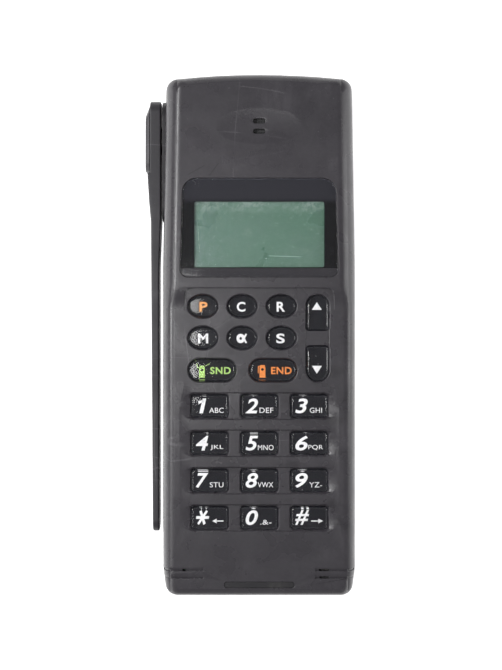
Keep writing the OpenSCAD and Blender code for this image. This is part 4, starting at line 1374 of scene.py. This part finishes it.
def alpha() -> bmesh.types.BMesh:
    """Draws a bold alpha: a loop whose two ends run out to the right.

    Returns:
        The mesh.
    """
    loop = fitted(lettering("o", 0.0, 0.06), -0.5, 0.3, -0.5, 0.5)
    return joined([loop, bar((0.22, -0.1, 0.0), (0.39, 0.52, INK_T + 0.002), -24.0),
                   bar((0.22, -0.52, 0.0), (0.39, 0.1, INK_T + 0.004), 24.0)])


def star() -> bmesh.types.BMesh:
    """A slanted six-armed star."""
    return leaning(joined(bar((-0.09, -0.5, 0.0), (0.09, 0.5, INK_T + turn * 4e-5), turn)
                          for turn in (30.0, 90.0, 150.0)))


def pointer(turn: float) -> Callable[[], bmesh.types.BMesh]:
    """A thin arrow along X.

    Args:
        turn: Its turn about its middle, in degrees.

    Returns:
        What draws it.
    """

    def draw() -> bmesh.types.BMesh:
        """Draws the head and the shaft, and turns both.

        Returns:
            The mesh.
        """
        head = bmesh.new()
        bmesh.ops.create_cone(head, cap_ends=True, segments=3, radius1=0.3, radius2=0.3,
                              depth=INK_T)
        turned(head, -90.0)
        bmesh.ops.scale(head, vec=(1.0, 0.8, 1.0), verts=head.verts)
        moved(head, 0.35, 0.0, INK_T / 2)
        whole = joined([head, bar((-0.5, -0.045, 0.0), (0.25, 0.045, INK_T))])
        turned(whole, turn)
        return whole

    return draw


def triangle(turn: float) -> Callable[[], bmesh.types.BMesh]:
    """A filled triangle that points up.

    Args:
        turn: Its turn about its middle, in degrees.

    Returns:
        What draws it.
    """

    def draw() -> bmesh.types.BMesh:
        """Draws the triangle as a flat prism.

        Returns:
            The mesh.
        """
        bm = bmesh.new()
        bmesh.ops.create_cone(bm, cap_ends=True, segments=3, radius1=1.0, radius2=1.0, depth=INK_T)
        turned(bm, turn)
        moved(bm, 0.0, 0.0, INK_T / 2)
        return bm

    return draw


def handset_sign(aerial_up: bool) -> Callable[[], bmesh.types.BMesh]:
    """A small picture of a handset with a round eye, its aerial raised with waves by it, or folded.

    Args:
        aerial_up: Whether the aerial is raised.

    Returns:
        What draws it.
    """

    def draw() -> bmesh.types.BMesh:
        """Draws the head with its eye, the body and the aerial.

        Returns:
            The mesh.
        """
        head = bmesh.new()
        bmesh.ops.create_circle(head, cap_ends=False, radius=0.44, segments=20)
        moved(head, 0.0, 0.16, 0.0)
        outline = list(head.edges)
        square = ((-0.9, -0.6), (0.9, -0.6), (0.9, 0.9), (-0.9, 0.9))
        corners = [head.verts.new((x, y, 0)) for x, y in square]
        outline += [head.edges.new((corners[i], corners[(i + 1) % 4])) for i in range(4)]
        bmesh.ops.triangle_fill(head, use_beauty=True, edges=outline)
        raised = bmesh.ops.extrude_face_region(head, geom=list(head.faces))["geom"]
        tops = [v for v in raised if isinstance(v, bmesh.types.BMVert)]
        bmesh.ops.translate(head, vec=(0.0, 0.0, INK_T), verts=tops)
        bmesh.ops.recalc_face_normals(head, faces=head.faces)
        blocks = [(-0.9, -2.55, 0.9, -0.6, 0.0), (-0.75, 0.9, 0.75, 1.6, 0.0)]
        if aerial_up:
            blocks += [(-1.6, 0.9, -1.38, 2.4, 10.0), (-1.5, 0.8, -0.8, 1.05, 0.0)]
            blocks += [(1.1 + 0.5 * i, 1.3 + 0.22 * i, 1.26 + 0.5 * i, 1.9 + 0.3 * i, -38.0)
                       for i in range(3)]
        else:
            blocks += [(-1.4, -1.1, -1.18, 1.3, 0.0), (-1.3, 1.05, -0.8, 1.3, 0.0)]
        return joined([head, *(bar((left, low, 0.0), (right, high, INK_T), turn)
                               for left, low, right, high, turn in blocks)])

    return draw


def row(number: str, letters: str, left: float, right: float) -> tuple[Mark, ...]:
    """The digit and the small letters of one number key.

    Args:
        number: The digit.
        letters: The small letters.
        left: Where the letters start, right of the key's middle.
        right: Where they end.

    Returns:
        The marks.
    """
    wide = (digit(number), -4.65, -0.4)
    draw, start, finish = (one, -3.9, -1.1) if number == "1" else wide
    return Mark(draw, start, finish, -2.5, 2.55), Mark(small(letters), left, right, -2.35, -0.6)


@dataclass(frozen=True)
class Key:
    """A clear cap over a dark printed back, with its flange and plunger.

    Attributes:
        name: The CAD node it stands for.
        form: Its outline.
        marks: What is printed on it.
        ink: The marks' finish.
        rim: Whether a thin line of the same ink runs round the print.
        rim_in: How far that line lies inside the cap's edge.
        rim_w: Width of the line.
        flange: Width of the flange that the cap doesn't cover.
        flange_t: Thickness of the flange.
        bevel: Bevel round the cap's top.
        soft: How far the bevel's own edges are rounded.
        corner: Radius of its square corners.
        cap_t: How far the print lies under the cap's top.
        embed: How far the cap reaches under the print's surface.
        lift: How far the marks stand above the print.
        plunger_r: Radius of the plunger.
    """

    name: str
    form: KeyForm
    marks: tuple[Mark, ...]
    ink: Ink = WHITE_INK
    rim: bool = False
    rim_in: float = 0.95
    rim_w: float = 0.13
    flange: float = 0.8
    flange_t: float = 0.8
    bevel: float = 0.6
    soft: float = 0.2
    corner: float = 1.0
    cap_t: float = 2.8
    embed: float = 0.06
    lift: float = 0.004
    plunger_r: float = 1.4

    def build(self) -> None:
        """Builds the printed back, the marks and the clear cap."""
        low, high = (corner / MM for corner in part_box(self.name))
        middle = Vector(((low.x + high.x) / 2, (low.y + high.y) / 2, 0.0))
        width, length = high.x - low.x - 2 * self.flange, high.y - low.y - 2 * self.flange
        print_z = high.z - self.cap_t
        body = self.name + "_body"

        back = plate(self.form, width + 2 * self.flange, length + 2 * self.flange,
                     print_z - self.flange_t, print_z, self.corner + self.flange)
        plunger = bmesh.new()
        depth = print_z - self.flange_t - low.z
        bmesh.ops.create_cone(plunger, cap_ends=True, segments=24, radius1=self.plunger_r,
                              radius2=self.plunger_r, depth=depth)
        moved(plunger, 0.0, 0.0, low.z + depth / 2)
        self.place(joined([back, plunger]), self.name + "_back", KEY_PRINT, body, middle,
                   (self.name,))

        drawn = [mark.mesh() for mark in self.marks]
        if self.rim:
            drawn.append(self.rim_line(width, length))
        signs = joined(drawn)
        moved(signs, 0.0, 0.0, print_z + self.lift)
        self.place(signs, self.name + "_marks", self.ink, body, middle, smooth=False)

        cap = plate(self.form, width, length, print_z - self.embed, high.z - self.bevel,
                    self.corner)
        bmesh.ops.inset_region(cap, faces=[self.top_of(cap)], thickness=self.bevel,
                               depth=self.bevel, use_even_offset=True)
        rims = [e for e in cap.edges
                if e.is_manifold and e.calc_face_angle(0.0) > math.radians(30.0)
                and min(v.co.z for v in e.verts) > high.z - self.bevel - LEVEL
                and abs(e.verts[0].co.z - e.verts[1].co.z) < LEVEL]
        rounded(cap, rims, self.soft, 4)
        self.place(cap, self.name + "_cap", SLOTS["key_gloss"], body, middle, slot="key_gloss")

    @staticmethod
    def top_of(bm: bmesh.types.BMesh) -> bmesh.types.BMFace:
        """The largest face that looks up."""
        return max(bm.faces, key=lambda face: face.normal.z * face.calc_area())

    def rim_line(self, width: float, length: float) -> bmesh.types.BMesh:
        """The thin line round the print.

        Args:
            width: The cap's size along X.
            length: The cap's size along Y.

        Returns:
            The mesh.
        """
        inside = 2 * self.rim_in
        ring = plate(self.form, width - inside, length - inside, 0.0, INK_T, self.corner)
        top = self.top_of(ring)
        others = [f for f in ring.faces if f is not top]
        bmesh.ops.delete(ring, geom=others, context="FACES_ONLY")
        line = bmesh.ops.inset_region(ring, faces=[top], thickness=self.rim_w, depth=0.0)
        kept = set(line["faces"])
        bmesh.ops.delete(ring, geom=[f for f in ring.faces if f not in kept], context="FACES")
        loose = [v for v in ring.verts if not v.link_faces]
        bmesh.ops.delete(ring, geom=loose, context="VERTS")
        return ring

    def place(self, bm: bmesh.types.BMesh, name: str, finish: Finish, body: str, middle: Vector,
              replaced: Iterable[str] = (), slot: str | None = None, smooth: bool = True) -> None:
        """Moves a mesh to the key's place and finishes it.

        Args:
            bm: The mesh round the Z axis.
            name: The piece's name.
            finish: Its finish.
            body: The body it rides on.
            middle: The key's middle.
            replaced: The nodes it stands for.
            slot: Its material slot.
            smooth: Whether it shades smoothly.
        """
        moved(bm, *middle)
        finished(name, bm, finish, body, slot, replaced, smooth)


LETTER = (-1.85, 1.5)  # Lower and upper side of the letters on the oval keys.
WORD = (-0.6, 6.4, -1.35, 1.1)  # Frame of the words on the call keys.
KEYS: tuple[Key, ...] = (
    Key("key_p", KeyForm.OVAL, (Mark(bold("P"), -1.2, 1.55, *LETTER),), SALMON_INK),
    Key("key_c", KeyForm.OVAL, (Mark(bold("C"), -1.8, 1.15, *LETTER),)),
    Key("key_r", KeyForm.OVAL, (Mark(bold("R"), -1.55, 1.3, *LETTER),)),
    Key("key_m", KeyForm.OVAL, (Mark(bold("M"), -1.65, 1.8, *LETTER),)),
    Key("key_alpha", KeyForm.OVAL, (Mark(alpha, -1.9, 1.7, *LETTER),)),
    Key("key_s", KeyForm.OVAL, (Mark(bold("S"), -1.7, 1.2, *LETTER),)),
    Key("key_send", KeyForm.CALL, (Mark(handset_sign(True), -5.3, -0.75, -2.6, 2.4),
                                   Mark(bold("SND"), *WORD)), GREEN_INK, True),
    Key("key_end", KeyForm.CALL, (Mark(handset_sign(False), -5.1, -2.55, -2.55, 1.75),
                                  Mark(bold("END"), *WORD)), ORANGE_INK, True),
    Key("key_up", KeyForm.UP, (Mark(triangle(0.0), -1.85, 1.55, 1.0, 3.6),)),
    Key("key_down", KeyForm.DOWN, (Mark(triangle(180.0), -1.85, 1.55, -3.5, -0.8),)),
    *(Key(f"key_{number}", KeyForm.NUMBER, row(str(number), letters, left, right))
      for number, (letters, left, right) in enumerate((
          ("ABC", -0.1, 4.85), ("DEF", 0.1, 4.8), ("GHI", 0.3, 4.45),
          ("JKL", 0.3, 4.7), ("MNO", -0.45, 4.9), ("PQR", -0.2, 4.8),
          ("STU", 0.1, 4.75), ("VWX", -0.5, 4.8), ("YZ-", 0.1, 4.5)), 1)),
    Key("key_star", KeyForm.NUMBER, (Mark(star, -4.65, -0.1, -2.45, 2.6),
                                     Mark(pointer(180.0), 0.95, 4.75, -1.95, -0.3))),
    Key("key_0", KeyForm.NUMBER, (Mark(digit("0"), -4.65, -0.4, -2.5, 2.55),
                                  Mark(small(".&-"), 0.35, 4.2, -2.35, -0.75))),
    Key("key_hash", KeyForm.NUMBER, (Mark(digit("#"), -4.7, 0.05, -2.45, 2.6),
                                     Mark(pointer(0.0), 0.75, 4.8, -1.95, -0.3))),
)


@dataclass(frozen=True)
class Keypad:
    """All the keys.

    Attributes:
        keys: The keys.
    """

    keys: tuple[Key, ...] = KEYS

    def build(self) -> None:
        """Builds every key."""
        for key in self.keys:
            key.build()
        LOG.info("keypad: %d keys", len(self.keys))


# ---------------------------------------------------------------------------------------------
# Shells, display, antenna and battery
# ---------------------------------------------------------------------------------------------


@dataclass(frozen=True)
class SoftEdges:
    """Nodes whose mouldings get rounded edges.

    Attributes:
        widths: How far each rounding reaches, in millimetres.
    """

    widths: tuple[tuple[str, float], ...] = (
        ("front_shell", 0.14),
        ("rear_shell", 0.2),
        ("display_lens", 0.22),
        ("label_strip", 0.08),
        ("antenna_pad", 0.3),
        ("antenna_blade", 0.45),
        ("antenna_hub_cap", 0.25),
        ("battery_case", 0.2),
        ("battery_cover", 0.12),
    )

    def build(self) -> None:
        """Builds each softened moulding."""
        for node, width in self.widths:
            softened(node, width, dish=Dish() if node == "front_shell" else None)


@dataclass(frozen=True)
class CarriedNodes:
    """The CAD nodes that keep their own mesh."""

    def build(self) -> None:
        """Gives each node that still shows its finish."""
        for name, node in frame["nodes"].items():
            if node.hide_render:
                continue
            finish = SLOTS[slot_of(name)].material()
            if node.material_slots:
                for place in node.material_slots:
                    place.material = finish
            else:
                node.data.materials.append(finish)
            LOG.info("%s: finish %s", name, finish.name)


# ---------------------------------------------------------------------------------------------
# Studio
# ---------------------------------------------------------------------------------------------


WHITE = (1.0, 1.0, 1.0, 1.0)


@dataclass(frozen=True)
class Lamp:
    """One soft lamp.

    Attributes:
        name: Its name.
        place: Its middle in millimetres.
        size: Its two sides in millimetres.
        radiance: How bright its surface is.
        aim: The point it faces.
    """

    name: str
    place: tuple[float, float, float]
    size: tuple[float, float]
    radiance: float
    aim: tuple[float, float, float] = (0.0, 0.0, 20.0)

    def build(self) -> None:
        """Makes the lamp and turns it to its aim."""
        data = bpy.data.lights.new(self.name, "AREA")
        data.shape = "RECTANGLE"
        data.size, data.size_y = (side * MM for side in self.size)
        data.energy = self.radiance * math.pi * data.size * data.size_y
        made = placed(self.name, data)
        made.location = Vector(self.place) * MM
        way = Vector(self.aim) - Vector(self.place)
        made.rotation_euler = way.to_track_quat("-Z", "Y").to_euler()


@dataclass(frozen=True)
class Studio:
    """Pale floor, soft surroundings, lamps and camera.

    Attributes:
        camera: The camera's place in millimetres.
        field: Height that the picture covers at the keypad, in millimetres.
        keypad_z: Height of the keypad face.
        horizon: Brightness of the surroundings at the horizon.
        zenith: Their brightness overhead.
        backdrop: How bright the floor is for the camera.
        floor_half: Half of the floor's side in metres.
        lamps: The lamps.
    """

    camera: tuple[float, float, float] = (-2.8, 0.0, 554.4)
    field: float = 228.0
    keypad_z: float = 34.4
    horizon: float = 0.6
    zenith: float = 0.26
    backdrop: float = 0.78
    floor_half: float = 2.5
    lamps: tuple[Lamp, ...] = (
        Lamp("upper_card", (-119.5, -2.5, 554.0), (161.0, 85.0), 9.0, aim=(-119.5, -2.5, 0.0)),
        Lamp("left_card", (-340.0, 92.0, 430.0), (240.0, 130.0), 15.0),
        Lamp("left_softbox", (-430.0, -90.0, 400.0), (300.0, 420.0), 2.2),
        Lamp("right_softbox", (470.0, 40.0, 200.0), (200.0, 420.0), 3.5),
    )

    def build(self) -> None:
        """Makes the studio."""
        self.surroundings()
        self.floor()
        for lamp in self.lamps:
            lamp.build()
        data = bpy.data.cameras.new("camera")
        data.lens = data.sensor_width * (self.camera[2] - self.keypad_z) / self.field
        data.clip_start = 0.01
        made = placed("camera", data)
        made.location = Vector(self.camera) * MM
        bpy.context.scene.camera = made
        bpy.context.scene.view_settings.view_transform = "Standard"

    def surroundings(self) -> None:
        """A grey room that is brighter at the horizon, and white for the camera."""
        world = bpy.data.worlds.new("room")
        bpy.context.scene.world = world
        world.use_nodes = True
        g = Graph(world.node_tree)
        way = g.node("ShaderNodeTexCoord").outputs["Generated"]
        height = g.node("ShaderNodeSeparateXYZ", Vector=way).outputs[2]
        level = g.span(height, 0.1, 0.8, self.horizon, self.zenith)
        seen = g.node("ShaderNodeLightPath").outputs["Is Camera Ray"]
        background = world.node_tree.nodes["Background"]
        g.feed(background.inputs["Strength"], g.math("MAXIMUM", level, seen))
        g.feed(background.inputs["Color"], WHITE)

    def floor(self) -> None:
        """A white floor that keeps a soft shadow."""
        bm = bmesh.new()
        bmesh.ops.create_grid(bm, x_segments=1, y_segments=1, size=self.floor_half)
        mesh = meshed("floor", bm)
        placed("floor", mesh)
        white = bpy.data.materials.new("floor_white")
        white.use_nodes = True
        g = Graph(white.node_tree)
        shader = white.node_tree.nodes["Principled BSDF"]
        g.feed(shader.inputs["Base Color"], rgba((0.82, 0.82, 0.82)))
        g.feed(shader.inputs["Roughness"], 0.9)
        g.feed(shader.inputs["Emission Color"], WHITE)
        ray = g.node("ShaderNodeLightPath").outputs
        seen = g.math("MAXIMUM", ray["Is Camera Ray"], ray["Is Transmission Ray"])
        seen = g.math("MAXIMUM", seen, ray["Is Glossy Ray"])
        g.feed(shader.inputs["Emission Strength"], g.math("MULTIPLY", seen, self.backdrop))
        mesh.materials.append(white)


def main() -> None:
    """Builds the pieces in order."""
    logging.basicConfig(level=logging.INFO, format="%(name)s: %(message)s")
    for assembly in (Studio(), SoftEdges(), Keypad(), CarriedNodes()):
        assembly.build()


if __name__ == "__main__":
    main()
